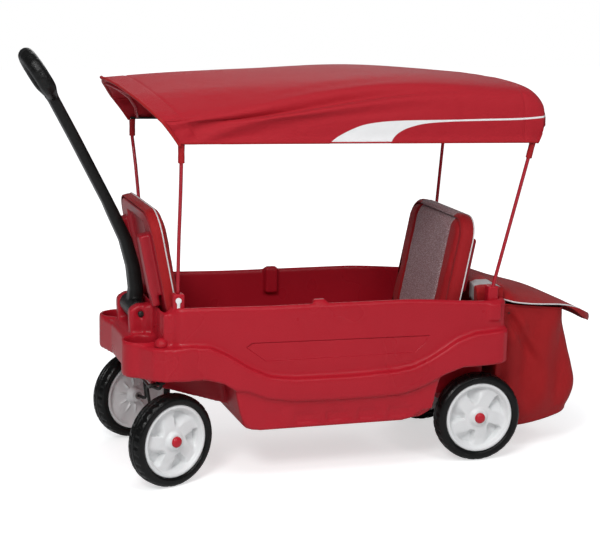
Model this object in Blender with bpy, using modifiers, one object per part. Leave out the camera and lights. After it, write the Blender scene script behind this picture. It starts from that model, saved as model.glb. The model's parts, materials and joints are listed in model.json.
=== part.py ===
"""Hand-pulled wagon with two folding seats, a fabric canopy and a rear storage bag.

Metres, +Z up. The wagon is pulled toward -X, so its left side is at -Y. It stands on the
floor at Z = 0 with its front wheels turned, as it was left after a bend.
"""

from math import atan2, ceil, cos, pi, radians, sin, tan

import bmesh
import bpy
from mathutils import Matrix, Vector

# General clearances
FACE_GAP = 0.0003
RUNNING_GAP = 0.0003
WALL = 0.004
RIM_WALL = 0.012

# Wheels
WHEEL_RADIUS = 0.105
WHEEL_SIDES = 28
TYRE_WIDTH = 0.044
RIM_RADIUS = 0.082
RIM_WIDTH = 0.037
HUB_RADIUS = 0.021
HUB_OUT = 0.021
HUB_IN = 0.024
SPOKES = 5
WINDOW_INNER = 0.031
WINDOW_OUTER = 0.067
WINDOW_FLOOR = 0.000
CAP_RADIUS = 0.0125
CAP_HEIGHT = 0.0085
AXLE_RADIUS = 0.005
AXLE_END = 0.016

# Running gear
REAR_AXLE_X = 0.3389
WHEELBASE = 0.740
REAR_TRACK_HALF = 0.174
KINGPIN_SIDE_INSET = 0.022
TRAIL = 0.020
SCRUB = 0.008
STEER_ANGLE = radians(23.5)
ROD_RADIUS = 0.004
CRANK_DROP = 0.026
CRANK_REACH = 0.056
BEND_RADIUS = 0.013
ARM_LENGTH = 0.030
ARM_THICKNESS = 0.003
TIE_RADIUS = 0.003
TIE_DROP = 0.0165
COLLAR_RADIUS = 0.009

# Tub
TUB_LENGTH = 0.796
TUB_FRONT_OVERHANG = 0.740
TUB_HALF_WIDTH = 0.212
SKIRT_DEPTH = 0.018
BELLY_DEPTH = 0.009
RIM_HEIGHT = 0.404
CORNER_RADIUS = 0.030
ARCH_HEIGHT = 0.246
BELLY_HEIGHT = 0.120
CREST_DIP = 0.010
CREST_RISE = 0.078
BAND_RISE = 0.064
SHELF_RISE = 0.072
FOOTWELL_FRONT = 0.570
FOOTWELL_REAR = 0.160
BENCH_LIP = 0.045
BENCH_THICKNESS = 0.010
KEEL_HALF_WIDTH = 0.100
REAR_BLOCK_HALF_WIDTH = 0.130
AXLE_BOSS_RADIUS = 0.020
KINGPIN_BOSS_RADIUS = 0.015
BUSH_RADIUS = 0.0080
POST_DEPTH = 0.0415
POST_GAP = 0.0008
POST_LENGTH = 0.026
POST_SPIGOT = 0.008

# Cup holders and handle tower
CUP_REACH = 0.0525
CUP_SIDE = 0.133
CUP_RADIUS = 0.045
CUP_BORE = 0.0365
CUP_LIP = 0.006
CUP_DROP = 0.0765
CUP_DEPTH = 0.078
PIVOT_REACH = 0.042
PIVOT_DROP = 0.037
EAR_INSIDE = 0.055
EAR_OUTSIDE = 0.083
EAR_RADIUS = 0.027
TOWER_DROP = 0.012
BAY_REACH = 0.0125

# Handle
BARREL_RADIUS = 0.0235
BOLT_RADIUS = 0.005
BOLT_HEAD_RADIUS = 0.0085
BOLT_HEAD_DEPTH = 0.005
SHAFT_WIDTH = 0.048
SHAFT_THICK_BASE = 0.034
SHAFT_THICK_TOP = 0.024
GRIP_HALF_WIDTH = 0.052
GRIP_HALF_LENGTH = 0.054
GRIP_RADIUS = 0.011

# Seats
SEAT_LEAN = radians(11.0)
SEAT_FRONT_INSET = 0.026
SEAT_REAR_INSET = 0.133
SEAT_HINGE_RISE = 0.034
SEAT_FRONT_LENGTH = 0.325
SEAT_REAR_LENGTH = 0.290
SEAT_SIDE_GAP = 0.047
SEAT_THICKNESS = 0.016
SEAT_CORNER = 0.055
SEAT_ROD_RADIUS = 0.004
SEAT_ROD_INSET = 0.026
PAD_THICKNESS = 0.024
BRACE_DEPTH = 0.024
BRACE_SIDE = 0.120
BRACE_WIDTH = 0.040
BRACE_RISE = 0.018
BRACE_MARGIN = 0.044
WING_LENGTH = 0.160

# Canopy
POLE_RADIUS = 0.0042
POLE_FRONT_INSET = 0.018
POLE_REAR_INSET = 0.035
SOCKET_RISE = 0.041
SOCKET_WIDTH = 0.026
SOCKET_DEPTH = 0.070
SPIGOT_DROP = 0.044
POLE_SIDE_INSET = 0.028
CANOPY_HALF_WIDTH = 0.269
CANOPY_FRONT_INSET = 0.003
CANOPY_VISOR = 0.120
CANOPY_BACK_REACH = 0.048
HEM_RISE = 0.353
HEM_DROP = 0.012
FRONT_TOP_RISE = 0.131
RIDGE_RISE = 0.156
REAR_TOP_RISE = 0.121
CANOPY_THICKNESS = 0.0030
CANOPY_COLUMNS = 14
CANOPY_ROWS = 16
BOW_RADIUS = 0.0035
FABRIC_GAP = 0.0004
BOW_MARGIN = 0.012
BOW_REAR_MARGIN = 0.036
RAIL_RADIUS = 0.0030
RAIL_INSET = 0.0012
POLE_REAR_MARGIN = 0.030
SLEEVE_RADIUS = 0.0075
SLEEVE_LENGTH = 0.040

# Rear bag
BAG_TOP_HALF_WIDTH = 0.160
BAG_LOW_HALF_WIDTH = 0.138
MOUTH_DROP = 0.052
MOUTH_SLOPE = radians(17.0)
BAG_TOP_REACH = 0.180
BAG_LOW_REACH = 0.209
BAG_BOTTOM = 0.068
BAG_BOTTOM_SLOPE = 0.120
BAG_WALL = 0.0030
BAG_FRONT_CORNER = 0.008
BAG_BACK_CORNER = 0.030
HOOP_RADIUS = 0.0030
FLAP_LENGTH = 0.296
FLAP_DROOP = 0.034
FLAP_FLAT = 0.170
FLAP_HALF_WIDTH = 0.170
FLAP_THICKNESS = 0.0040
FLAP_SLOPE = radians(21.0)
COVER_OVERHANG = 0.006
COVER_LENGTH = 0.066
COVER_HALF_WIDTH = 0.160
COVER_CROWN = 0.018
HINGE_ROLL = 0.0026

LEFT, RIGHT = -1, 1
SIDES = (("left", LEFT), ("right", RIGHT))

AXLE_HEIGHT = WHEEL_RADIUS * cos(pi / WHEEL_SIDES)
TUB_FRONT_X = REAR_AXLE_X - TUB_FRONT_OVERHANG
TUB_REAR_X = TUB_FRONT_X + TUB_LENGTH
BENCH_HEIGHT = ARCH_HEIGHT + WALL
FLOOR_HEIGHT = BELLY_HEIGHT + WALL
KINGPIN_X = REAR_AXLE_X - WHEELBASE - TRAIL
KINGPIN_HALF_SPAN = TUB_HALF_WIDTH - KINGPIN_SIDE_INSET
CRANK_HEIGHT = ARCH_HEIGHT - CRANK_DROP
TIE_HEIGHT = ARCH_HEIGHT - TIE_DROP
FENDER_HALF_WIDTH = TUB_HALF_WIDTH + SKIRT_DEPTH
BELLY_HALF_WIDTH = TUB_HALF_WIDTH + BELLY_DEPTH
CREST_LOW = ARCH_HEIGHT - CREST_DIP
CREST_HIGH = ARCH_HEIGHT + CREST_RISE
BAND_HEIGHT = BELLY_HEIGHT + BAND_RISE
SHELF_HEIGHT = ARCH_HEIGHT + SHELF_RISE
CUP_RIM = SHELF_HEIGHT + CUP_LIP
CUP_BOTTOM = SHELF_HEIGHT - CUP_DROP
POST_INSIDE = TUB_HALF_WIDTH - POST_DEPTH
BAY_HALF_WIDTH = POST_INSIDE - POST_GAP
POLE_SIDE = TUB_HALF_WIDTH - POLE_SIDE_INSET
SEAT_HALF_WIDTH = TUB_HALF_WIDTH - SEAT_SIDE_GAP
SEAT_ROD_HALF = TUB_HALF_WIDTH - SEAT_ROD_INSET
INNER_HALF_WIDTH = TUB_HALF_WIDTH - RIM_WALL
WELL_MIDDLE = (FOOTWELL_FRONT + FOOTWELL_REAR) / 2
PIVOT_X = TUB_FRONT_X - PIVOT_REACH
PIVOT_HEIGHT = RIM_HEIGHT - PIVOT_DROP
TOWER_TOP = RIM_HEIGHT - TOWER_DROP
BAY_X = TUB_FRONT_X - BAY_REACH
CUP_X = TUB_FRONT_X - CUP_REACH
SEAT_HINGE_HEIGHT = BENCH_HEIGHT + SEAT_HINGE_RISE
POLE_FRONT_X = TUB_FRONT_X + POLE_FRONT_INSET
POLE_REAR_X = TUB_REAR_X - POLE_REAR_INSET
SOCKET_HEIGHT = RIM_HEIGHT + SOCKET_RISE
SPIGOT_HEIGHT = RIM_HEIGHT - SPIGOT_DROP
SOCKET_HALF = SOCKET_WIDTH / 2
POLE_FOOT = SOCKET_HEIGHT - SOCKET_DEPTH
CANOPY_FRONT_X = TUB_FRONT_X + CANOPY_FRONT_INSET
CANOPY_BACK_X = TUB_REAR_X + CANOPY_BACK_REACH
CANOPY_HEM = RIM_HEIGHT + HEM_RISE
CANOPY_FRONT_TOP = CANOPY_HEM + FRONT_TOP_RISE
CANOPY_RIDGE = CANOPY_HEM + RIDGE_RISE
CANOPY_REAR_TOP = CANOPY_HEM + REAR_TOP_RISE
BAG_MOUTH = RIM_HEIGHT - MOUTH_DROP
BORE_GAP = RUNNING_GAP


def clear_scene():
    """Empty the scene without closing the file."""
    for old in list(bpy.data.objects):
        bpy.data.objects.remove(old, do_unlink=True)


def new_collection(name):
    group = bpy.data.collections.get(name) or bpy.data.collections.new(name)
    if group.name not in bpy.context.scene.collection.children:
        bpy.context.scene.collection.children.link(group)
    return group


clear_scene()
WAGON = new_collection("hand_pulled_wagon")
CUTTERS = new_collection("cutters")


def principled(name, colour, roughness, metallic=0.0):
    """A plain material in the colour of the photographed part."""
    material = bpy.data.materials.get(name) or bpy.data.materials.new(name)
    material.use_nodes = True
    shader = material.node_tree.nodes["Principled BSDF"]
    shader.inputs["Base Color"].default_value = (*colour, 1.0)
    shader.inputs["Roughness"].default_value = roughness
    shader.inputs["Metallic"].default_value = metallic
    material.diffuse_color = (*colour, 1.0)
    return material


RED_PLASTIC = principled("red_plastic", (0.42, 0.012, 0.025), 0.45)
RED_FABRIC = principled("red_fabric", (0.36, 0.010, 0.018), 0.85)
RED_PAINT = principled("red_paint", (0.40, 0.010, 0.022), 0.35)
BLACK_PLASTIC = principled("black_plastic", (0.010, 0.010, 0.011), 0.50)
BLACK_RUBBER = principled("black_tyre", (0.012, 0.012, 0.013), 0.60)
WHITE_PLASTIC = principled("white_plastic", (0.80, 0.80, 0.80), 0.40)
BLACK_STEEL = principled("black_steel", (0.020, 0.020, 0.022), 0.40, 0.6)
BARE_STEEL = principled("bare_steel", (0.50, 0.50, 0.50), 0.35, 1.0)


def add_empty(name, location, turn=None, parent=None):
    """A joint's axis, which its pieces are modelled around."""
    empty = bpy.data.objects.new(name, None)
    WAGON.objects.link(empty)
    empty.location = location
    if turn is not None:
        empty.rotation_euler = turn.to_euler()
    empty.parent = parent
    bpy.context.view_layer.update()
    return empty


def add_object(name, mesh, material=None, parent=None):
    obj = bpy.data.objects.new(name, mesh)
    WAGON.objects.link(obj)
    if material:
        mesh.materials.append(material)
    obj.parent = parent
    return obj


def from_bmesh(name, shape, material=None, parent=None):
    bmesh.ops.recalc_face_normals(shape, faces=shape.faces)
    mesh = bpy.data.meshes.new(name)
    shape.to_mesh(mesh)
    shape.free()
    return add_object(name, mesh, material, parent)


def add_bevel(obj, width, segments=2, angle=35):
    bevel = obj.modifiers.new("rounded_edges", "BEVEL")
    bevel.width = width
    bevel.segments = segments
    bevel.limit_method = "ANGLE"
    bevel.angle_limit = radians(angle)
    return obj


def smooth_round(obj, angle=40):
    """Smooth shading with sharp edges kept."""
    obj.data.shade_smooth()
    obj.data.set_sharp_from_angle(angle=radians(angle))
    return obj


def block(name, low, high, material=None, parent=None, bevel=0.0, segments=2):
    """A box between two corners, with its edges rounded."""
    low, high = Vector(low), Vector(high)
    shape = bmesh.new()
    bmesh.ops.create_cube(shape, size=1.0)
    size, middle = high - low, (high + low) / 2
    bmesh.ops.scale(shape, vec=size, verts=shape.verts)
    bmesh.ops.translate(shape, vec=middle, verts=shape.verts)
    obj = from_bmesh(name, shape, material, parent)
    if bevel:
        add_bevel(obj, bevel, segments)
    return obj


def bar(name, start, end, radius, material=None, parent=None, sides=16, end_radius=None):
    """A round bar, or a cone, between two points."""
    start, end = Vector(start), Vector(end)
    run = end - start
    shape = bmesh.new()
    bmesh.ops.create_cone(shape, cap_ends=True, segments=sides, radius1=radius,
                          radius2=radius if end_radius is None else end_radius, depth=run.length)
    turn = run.to_track_quat("Z", "Y").to_matrix().to_4x4()
    bmesh.ops.transform(shape, matrix=Matrix.Translation((start + end) / 2) @ turn, verts=shape.verts)
    return smooth_round(from_bmesh(name, shape, material, parent))


def curve_mesh(name, curve, material=None, parent=None, matrix=None):
    """A curve made a closed mesh, with its caps welded on."""
    guide = bpy.data.objects.new(name + "_guide", curve)
    WAGON.objects.link(guide)
    bpy.context.view_layer.update()
    evaluated = guide.evaluated_get(bpy.context.evaluated_depsgraph_get())
    mesh = bpy.data.meshes.new_from_object(evaluated)
    bpy.data.objects.remove(guide, do_unlink=True)
    shape = bmesh.new()
    shape.from_mesh(mesh)
    bpy.data.meshes.remove(mesh)
    bmesh.ops.remove_doubles(shape, verts=shape.verts, dist=0.00001)
    if matrix is not None:
        bmesh.ops.transform(shape, matrix=matrix, verts=shape.verts)
    return from_bmesh(name, shape, material, parent)


def flat_outline(name, outline, thickness):
    curve = bpy.data.curves.new(name, "CURVE")
    curve.dimensions = "2D"
    curve.fill_mode = "BOTH"
    curve.extrude = thickness / 2
    spline = curve.splines.new("POLY")
    spline.points.add(len(outline) - 1)
    for point, (u, v) in zip(spline.points, outline):
        point.co = (u, v, 0, 1)
    spline.use_cyclic_u = True
    return curve


def side_prism(name, outline, low, high, material=None, parent=None):
    """An outline of (x, z) points, given its thickness along Y."""
    stand = Matrix.Rotation(pi / 2, 4, "X")
    place = Matrix.Translation((0, (low + high) / 2, 0)) @ stand
    return curve_mesh(name, flat_outline(name, outline, high - low), material, parent, place)


def plan_prism(name, outline, low, high, material=None, parent=None):
    """An outline of (x, y) points, given its thickness along Z."""
    place = Matrix.Translation((0, 0, (low + high) / 2))
    return curve_mesh(name, flat_outline(name, outline, high - low), material, parent, place)


def front_prism(name, outline, low, high, material=None, parent=None):
    """An outline of (y, z) points, given its thickness along X."""
    stand = Matrix(((0, 0, 1, 0), (1, 0, 0, 0), (0, 1, 0, 0), (0, 0, 0, 1)))
    place = Matrix.Translation(((low + high) / 2, 0, 0)) @ stand
    return curve_mesh(name, flat_outline(name, outline, high - low), material, parent, place)


def wire(name, points, radius, material=None, parent=None, resolution=2, cyclic=False):
    """A bent round rod along its points."""
    curve = bpy.data.curves.new(name, "CURVE")
    curve.dimensions = "3D"
    curve.bevel_depth = radius
    curve.bevel_resolution = resolution
    curve.use_fill_caps = True
    spline = curve.splines.new("POLY")
    spline.points.add(len(points) - 1)
    for point, place in zip(spline.points, points):
        point.co = (*place, 1)
    spline.use_cyclic_u = cyclic
    return smooth_round(curve_mesh(name, curve, material, parent), 50)


def turned(name, profile, sides, material=None, parent=None, closed=True):
    """A profile of (radius, height) points turned about the local Z axis."""
    mesh = bpy.data.meshes.new(name)
    count = len(profile)
    edges = [(i, i + 1) for i in range(count - 1)]
    if closed:
        edges.append((count - 1, 0))
    mesh.from_pydata([(r, 0, z) for r, z in profile], edges, [])
    obj = add_object(name, mesh, material, parent)
    screw = obj.modifiers.new("turned", "SCREW")
    screw.angle = 2 * pi
    screw.steps = sides
    screw.render_steps = sides
    screw.use_merge_vertices = True
    screw.merge_threshold = 0.00001
    screw.use_smooth_shade = True
    obj.rotation_euler.z = pi / sides
    return obj


def loft(name, rings, material=None, parent=None):
    """Closed skin over rings that all have the same number of points, with flat ends."""
    shape = bmesh.new()
    rows = [[shape.verts.new(p) for p in ring] for ring in rings]
    count = len(rings[0])
    for first, second in zip(rows, rows[1:]):
        for i in range(count):
            j = (i + 1) % count
            shape.faces.new((first[i], first[j], second[j], second[i]))
    shape.faces.new(rows[0][::-1])
    shape.faces.new(rows[-1])
    return from_bmesh(name, shape, material, parent)


def hide_cutter(cutter):
    for group in list(cutter.users_collection):
        group.objects.unlink(cutter)
    CUTTERS.objects.link(cutter)
    cutter.hide_render = True
    cutter.display_type = "WIRE"


def combine(target, others, operation):
    for other in others:
        boolean = target.modifiers.new(other.name, "BOOLEAN")
        boolean.operation = operation
        boolean.solver = "EXACT"
        boolean.object = other
        hide_cutter(other)
    return target


def cut(target, *cutters):
    return combine(target, cutters, "DIFFERENCE")


def join(target, *others):
    return combine(target, others, "UNION")


def keep_common(target, *others):
    return combine(target, others, "INTERSECT")


def arc(centre, radius, start, end, steps):
    """Points on an arc from one angle to another, in degrees."""
    return [(centre[0] + radius * cos(radians(start + (end - start) * i / steps)),
             centre[1] + radius * sin(radians(start + (end - start) * i / steps)))
            for i in range(steps + 1)]


def rounded_box_outline(low, high, radius, steps=4):
    """Corner points of a rectangle with rounded corners."""
    (x0, y0), (x1, y1) = low, high
    return (arc((x1 - radius, y0 + radius), radius, -90, 0, steps)
            + arc((x1 - radius, y1 - radius), radius, 0, 90, steps)
            + arc((x0 + radius, y1 - radius), radius, 90, 180, steps)
            + arc((x0 + radius, y0 + radius), radius, 180, 270, steps))


def smooth_path(points, spans=4):
    """A smooth curve through the points, with a few steps in each span."""
    places = [Vector(p) for p in points]
    ends = [places[0] * 2 - places[1]] + places + [places[-1] * 2 - places[-2]]
    path = []
    for a, b, c, d in zip(ends, ends[1:], ends[2:], ends[3:]):
        for i in range(spans):
            t = i / spans
            path.append(0.5 * (2 * b + (c - a) * t + (2 * a - 5 * b + 4 * c - d) * t * t
                               + (3 * b - a - 3 * c + d) * t ** 3))
    path.append(places[-1])
    return path


def bent_path(points, radius, steps=3):
    """Straight runs joined by round bends, as a rod comes off a bender."""
    places = [Vector(p) for p in points]
    path = [places[0]]
    for before, corner, after in zip(places, places[1:], places[2:]):
        back, ahead = (before - corner).normalized(), (after - corner).normalized()
        half = back.angle(ahead) / 2
        reach = radius / tan(half)
        middle = corner + (back + ahead).normalized() * radius / sin(half)
        start, end = corner + back * reach - middle, corner + ahead * reach - middle
        for i in range(steps + 1):
            path.append(middle + start.slerp(end, i / steps).normalized() * radius)
    path.append(places[-1])
    return path


def behind(distance):
    """X of a place so far forward of the rear axle."""
    return REAR_AXLE_X - distance


def plan_loft(name, low, high, radius, levels, steps=4):
    """A rounded rectangle carried up through (height, inset) levels."""
    rings = []
    for height, inset in levels:
        outline = rounded_box_outline((low[0] + inset, low[1] + inset), (high[0] - inset, high[1] - inset),
                                      max(radius - inset, 0.002), steps)
        rings.append([Vector((x, y, height)) for x, y in outline])
    return loft(name, rings)


def hull_body():
    """The tub's upper walls and its deep middle, with rounded upright corners."""
    front, rear, over = TUB_FRONT_X - 0.02, TUB_REAR_X + 0.02, RIM_HEIGHT + 0.02
    side = [(rear, over), (front, over), (front, ARCH_HEIGHT), (behind(FOOTWELL_FRONT + 0.050), ARCH_HEIGHT),
            (behind(FOOTWELL_FRONT + 0.028), ARCH_HEIGHT - 0.027), (behind(FOOTWELL_FRONT + 0.010), BELLY_HEIGHT + 0.012),
            (behind(FOOTWELL_FRONT), BELLY_HEIGHT + 0.0031), (behind(FOOTWELL_REAR), BELLY_HEIGHT + 0.0031),
            (behind(FOOTWELL_REAR - 0.025), BELLY_HEIGHT + 0.014), (behind(FOOTWELL_REAR - 0.042), ARCH_HEIGHT - 0.022),
            (behind(FOOTWELL_REAR - 0.070), ARCH_HEIGHT), (rear, ARCH_HEIGHT)]
    body = side_prism("tub", side, -TUB_HALF_WIDTH - 0.02, TUB_HALF_WIDTH + 0.02, RED_PLASTIC)
    walls = plan_loft("tub_walls", (TUB_FRONT_X, -TUB_HALF_WIDTH), (TUB_REAR_X, TUB_HALF_WIDTH), CORNER_RADIUS,
                      [(BELLY_HEIGHT - 0.03, 0), (RIM_HEIGHT - 0.008, 0), (RIM_HEIGHT - 0.0025, 0.0015),
                       (RIM_HEIGHT, 0.0050)])
    return keep_common(body, walls)


def fender_band():
    """The raised skirt, low at the middle and high over both wheels."""
    ahead, after = FOOTWELL_FRONT, FOOTWELL_REAR
    crest = [(TUB_REAR_X + 0.02, CREST_HIGH + 0.002), (behind(after - 0.130), CREST_HIGH - 0.008),
             (behind(after - 0.087), CREST_HIGH - 0.022), (behind(after - 0.055), CREST_LOW + 0.046),
             (behind(after - 0.020), CREST_LOW + 0.026), (behind(after + 0.020), CREST_LOW + 0.009),
             (behind(after + 0.065), CREST_LOW + 0.002), (behind(WELL_MIDDLE - 0.025), CREST_LOW - 0.002),
             (behind(ahead - 0.100), CREST_LOW), (behind(ahead - 0.049), CREST_LOW + 0.007),
             (behind(ahead), CREST_LOW + 0.030), (behind(ahead + 0.030), CREST_LOW + 0.050),
             (behind(ahead + 0.057), CREST_HIGH - 0.022), (behind(ahead + 0.090), CREST_HIGH - 0.007),
             (behind(ahead + 0.130), SHELF_HEIGHT + 0.003), (TUB_FRONT_X + 0.004, SHELF_HEIGHT + 0.001)]
    under = [(TUB_FRONT_X + 0.004, ARCH_HEIGHT - 0.001), (behind(ahead + 0.095), ARCH_HEIGHT - 0.002),
             (behind(ahead + 0.059), ARCH_HEIGHT - 0.012), (behind(ahead + 0.030), ARCH_HEIGHT - 0.030),
             (behind(ahead + 0.006), BAND_HEIGHT + 0.030), (behind(ahead - 0.042), BAND_HEIGHT + 0.010),
             (behind(ahead - 0.105), BAND_HEIGHT), (behind(WELL_MIDDLE - 0.033), BAND_HEIGHT - 0.003),
             (behind(after + 0.052), BAND_HEIGHT), (behind(after + 0.010), BAND_HEIGHT + 0.010),
             (behind(after - 0.028), BAND_HEIGHT + 0.026), (behind(after - 0.052), ARCH_HEIGHT - 0.024),
             (behind(after - 0.097), ARCH_HEIGHT - 0.009), (TUB_REAR_X + 0.02, ARCH_HEIGHT - 0.004)]
    half = FENDER_HALF_WIDTH
    band = side_prism("fender_band", crest + under, -half - 0.02, half + 0.02)
    walls = plan_loft("band_walls", (TUB_FRONT_X - 0.06, -half), (TUB_REAR_X + 0.0010, half), CORNER_RADIUS,
                      [(BELLY_HEIGHT, 0.0), (RIM_HEIGHT, 0.0)])
    return keep_common(band, walls)


def belly_panel():
    """The lowest side panel, between the wheel arches."""
    ahead, after = FOOTWELL_FRONT, FOOTWELL_REAR
    outline = [(behind(ahead + 0.030), ARCH_HEIGHT - 0.028), (behind(ahead + 0.018), BELLY_HEIGHT + 0.040),
               (behind(ahead + 0.008), BELLY_HEIGHT + 0.016), (behind(ahead - 0.008), BELLY_HEIGHT + 0.002),
               (behind(ahead - 0.025), BELLY_HEIGHT), (behind(after + 0.040), BELLY_HEIGHT),
               (behind(after + 0.015), BELLY_HEIGHT + 0.006), (behind(after - 0.004), BELLY_HEIGHT + 0.020),
               (behind(after - 0.030), BELLY_HEIGHT + 0.024), (behind(after - 0.038), BAND_HEIGHT),
               (behind(after - 0.048), ARCH_HEIGHT - 0.024), (behind(WELL_MIDDLE - 0.025), CREST_LOW - 0.020)]
    return side_prism("belly_panel", outline, -BELLY_HALF_WIDTH, BELLY_HALF_WIDTH)


def belly_relief(index, side):
    """One of the shallow rectangles pressed into the belly panel's lower edge."""
    low = behind(FOOTWELL_FRONT - 0.035) + index * 0.074
    outer = side * BELLY_HALF_WIDTH
    inner = side * (BELLY_HALF_WIDTH - 0.0015)
    return block(f"relief_{index}_{side}", (low, min(inner, outer * 1.1), BELLY_HEIGHT + 0.010),
                 (low + 0.045, max(inner, outer * 1.1), BELLY_HEIGHT + 0.045))


def keel_blocks():
    """Hull between the wheels: a sloping nose in front, and the axle carrier behind."""
    start, end = KINGPIN_X - 0.012, behind(FOOTWELL_FRONT + 0.020)
    nose = [(start, ARCH_HEIGHT + 0.010), (start, ARCH_HEIGHT - 0.004), (start + 0.008, ARCH_HEIGHT - 0.040),
            (end, ARCH_HEIGHT - 0.094), (end + 0.015, ARCH_HEIGHT + 0.010)]
    keel = side_prism("keel_front", nose, -KEEL_HALF_WIDTH, KEEL_HALF_WIDTH)
    boss = arc((REAR_AXLE_X, AXLE_HEIGHT), AXLE_BOSS_RADIUS, 180, 360, 8)
    front, low = behind(FOOTWELL_REAR - 0.010), BELLY_HEIGHT + 0.0307
    carrier = ([(front, ARCH_HEIGHT + 0.010), (front, low), (behind(2 * AXLE_BOSS_RADIUS), low)]
               + boss + [(REAR_AXLE_X + 0.030, low - 0.0007), (REAR_AXLE_X + 0.034, ARCH_HEIGHT + 0.010)])
    half = REAR_BLOCK_HALF_WIDTH
    return keel, side_prism("axle_carrier", carrier, -half, half)


def lightening_pockets():
    """Hollows under the keel and the axle carrier, on both sides of a middle rib."""
    pockets = []
    for _, side in SIDES:
        for name, low, high, reach in (
                ("keel", KINGPIN_X + 0.008, behind(FOOTWELL_FRONT + 0.032), KEEL_HALF_WIDTH),
                ("carrier", behind(FOOTWELL_REAR - 0.022), behind(0.034), REAR_BLOCK_HALF_WIDTH)):
            inner, outer = side * 0.006, side * (reach - 0.010)
            pockets.append(block(f"{name}_pocket_{side}", (low, min(inner, outer), 0.10),
                                 (high, max(inner, outer), ARCH_HEIGHT - 0.006)))
    return pockets


def front_shelf():
    """The ledge in front of the tub, which carries the cups and the steering posts."""
    left = [(TUB_FRONT_X + 0.04, -FENDER_HALF_WIDTH + 0.001), (KINGPIN_X + 0.004, -FENDER_HALF_WIDTH + 0.004),
            (KINGPIN_X - 0.022, -KINGPIN_HALF_SPAN - 0.020)]
    left += arc((CUP_X, -CUP_SIDE), CUP_RADIUS, 250, 180, 5)
    left += [(CUP_X - CUP_RADIUS + 0.006, -CUP_SIDE + 0.030), (CUP_X - 0.0295, -0.060)]
    right = [(x, -y) for x, y in reversed(left)]
    return plan_prism("front_shelf", left + right, ARCH_HEIGHT - 0.002, SHELF_HEIGHT)


def cup_body(name, side):
    """A cup holder's outside, with a rounded bottom."""
    profile = [(0, CUP_RIM), (CUP_RADIUS, CUP_RIM), (CUP_RADIUS, CUP_BOTTOM + 0.026),
               (CUP_RADIUS - 0.007, CUP_BOTTOM + 0.009), (CUP_RADIUS - 0.022, CUP_BOTTOM), (0, CUP_BOTTOM)]
    cup = turned("cup_body_" + name, profile, 24, closed=False)
    cup.location = (CUP_X, side * CUP_SIDE, 0)
    return cup


def cup_bore(name, side):
    start = (CUP_X, side * CUP_SIDE, CUP_RIM - CUP_DEPTH)
    return bar("cup_bore_" + name, start, (CUP_X, side * CUP_SIDE, RIM_HEIGHT + 0.05), CUP_BORE, sides=24)


def tower_body():
    """The block behind the cups that carries the handle's ears."""
    low, high = SHELF_HEIGHT - 0.02, TOWER_TOP
    outline = ([(TUB_FRONT_X + 0.016, low - 0.004), (TUB_FRONT_X + 0.016, high - 0.0015),
                (PIVOT_X + 0.020, high - 0.0015)]
               + arc((PIVOT_X, PIVOT_HEIGHT), EAR_RADIUS, 62, 180, 6)
               + [(PIVOT_X - EAR_RADIUS + 0.004, low - 0.004)])
    ears = side_prism("tower_ears", outline, -EAR_OUTSIDE, EAR_OUTSIDE)
    back = block("tower_back", (BAY_X - WALL - 0.002, -BAY_HALF_WIDTH - WALL, low),
                 (TUB_FRONT_X + 0.02, BAY_HALF_WIDTH + WALL, high), bevel=0.003)
    return ears, back


def handle_slot():
    """The space between the ears where the handle's barrel turns."""
    back = BAY_X - WALL - 0.0005
    front = PIVOT_X - 0.068
    slot = [(back, RIM_HEIGHT), (back, PIVOT_HEIGHT - 0.030), (PIVOT_X, PIVOT_HEIGHT - 0.036),
            (front, PIVOT_HEIGHT - 0.048), (front, RIM_HEIGHT)]
    return side_prism("handle_slot", slot, -EAR_INSIDE, EAR_INSIDE)


def tub_cavities():
    """The space for children and feet, with the seat bays at the front."""
    main = plan_loft("main_cavity", (TUB_FRONT_X + RIM_WALL, -INNER_HALF_WIDTH),
                     (TUB_REAR_X - RIM_WALL, INNER_HALF_WIDTH), CORNER_RADIUS - RIM_WALL,
                     [(BENCH_HEIGHT, 0.003), (BENCH_HEIGHT + 0.003, 0), (RIM_HEIGHT - 0.006, 0),
                      (RIM_HEIGHT - 0.001, -0.0022), (RIM_HEIGHT + 0.05, -0.0060)])
    low, high = behind(FOOTWELL_FRONT) + RIM_WALL, behind(FOOTWELL_REAR) - RIM_WALL
    lip = BENCH_HEIGHT - BENCH_THICKNESS
    well = block("footwell", (low, -INNER_HALF_WIDTH, FLOOR_HEIGHT), (high, INNER_HALF_WIDTH, lip), bevel=0.008)
    opening = block("footwell_opening", (low + BENCH_LIP, 0.0004 - INNER_HALF_WIDTH, lip - 0.03),
                    (high - BENCH_LIP, INNER_HALF_WIDTH - 0.0004, BENCH_HEIGHT + 0.02))
    bay = block("seat_bay", (BAY_X, -BAY_HALF_WIDTH, BENCH_HEIGHT + 0.0005),
                (TUB_FRONT_X + 0.03, BAY_HALF_WIDTH, RIM_HEIGHT + 0.06))
    return main, well, opening, bay


def seat_hinge_x(end):
    return TUB_FRONT_X + SEAT_FRONT_INSET if end == "front" else TUB_REAR_X - SEAT_REAR_INSET


def hinge_lug(end, side):
    """A moulded lug beside the bench that holds one end of a seat's hinge rod."""
    x, z = seat_hinge_x(end), SEAT_HINGE_HEIGHT
    outline = [(x - 0.016, BENCH_HEIGHT - 0.002)] + arc((x, z), 0.014, 180, 0, 6) + [(x + 0.016, BENCH_HEIGHT - 0.002)]
    inner, outer = side * (SEAT_HALF_WIDTH + 0.006), side * (INNER_HALF_WIDTH + 0.004)
    return side_prism(f"hinge_lug_{end}_{side}", outline, min(inner, outer), max(inner, outer))


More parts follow.
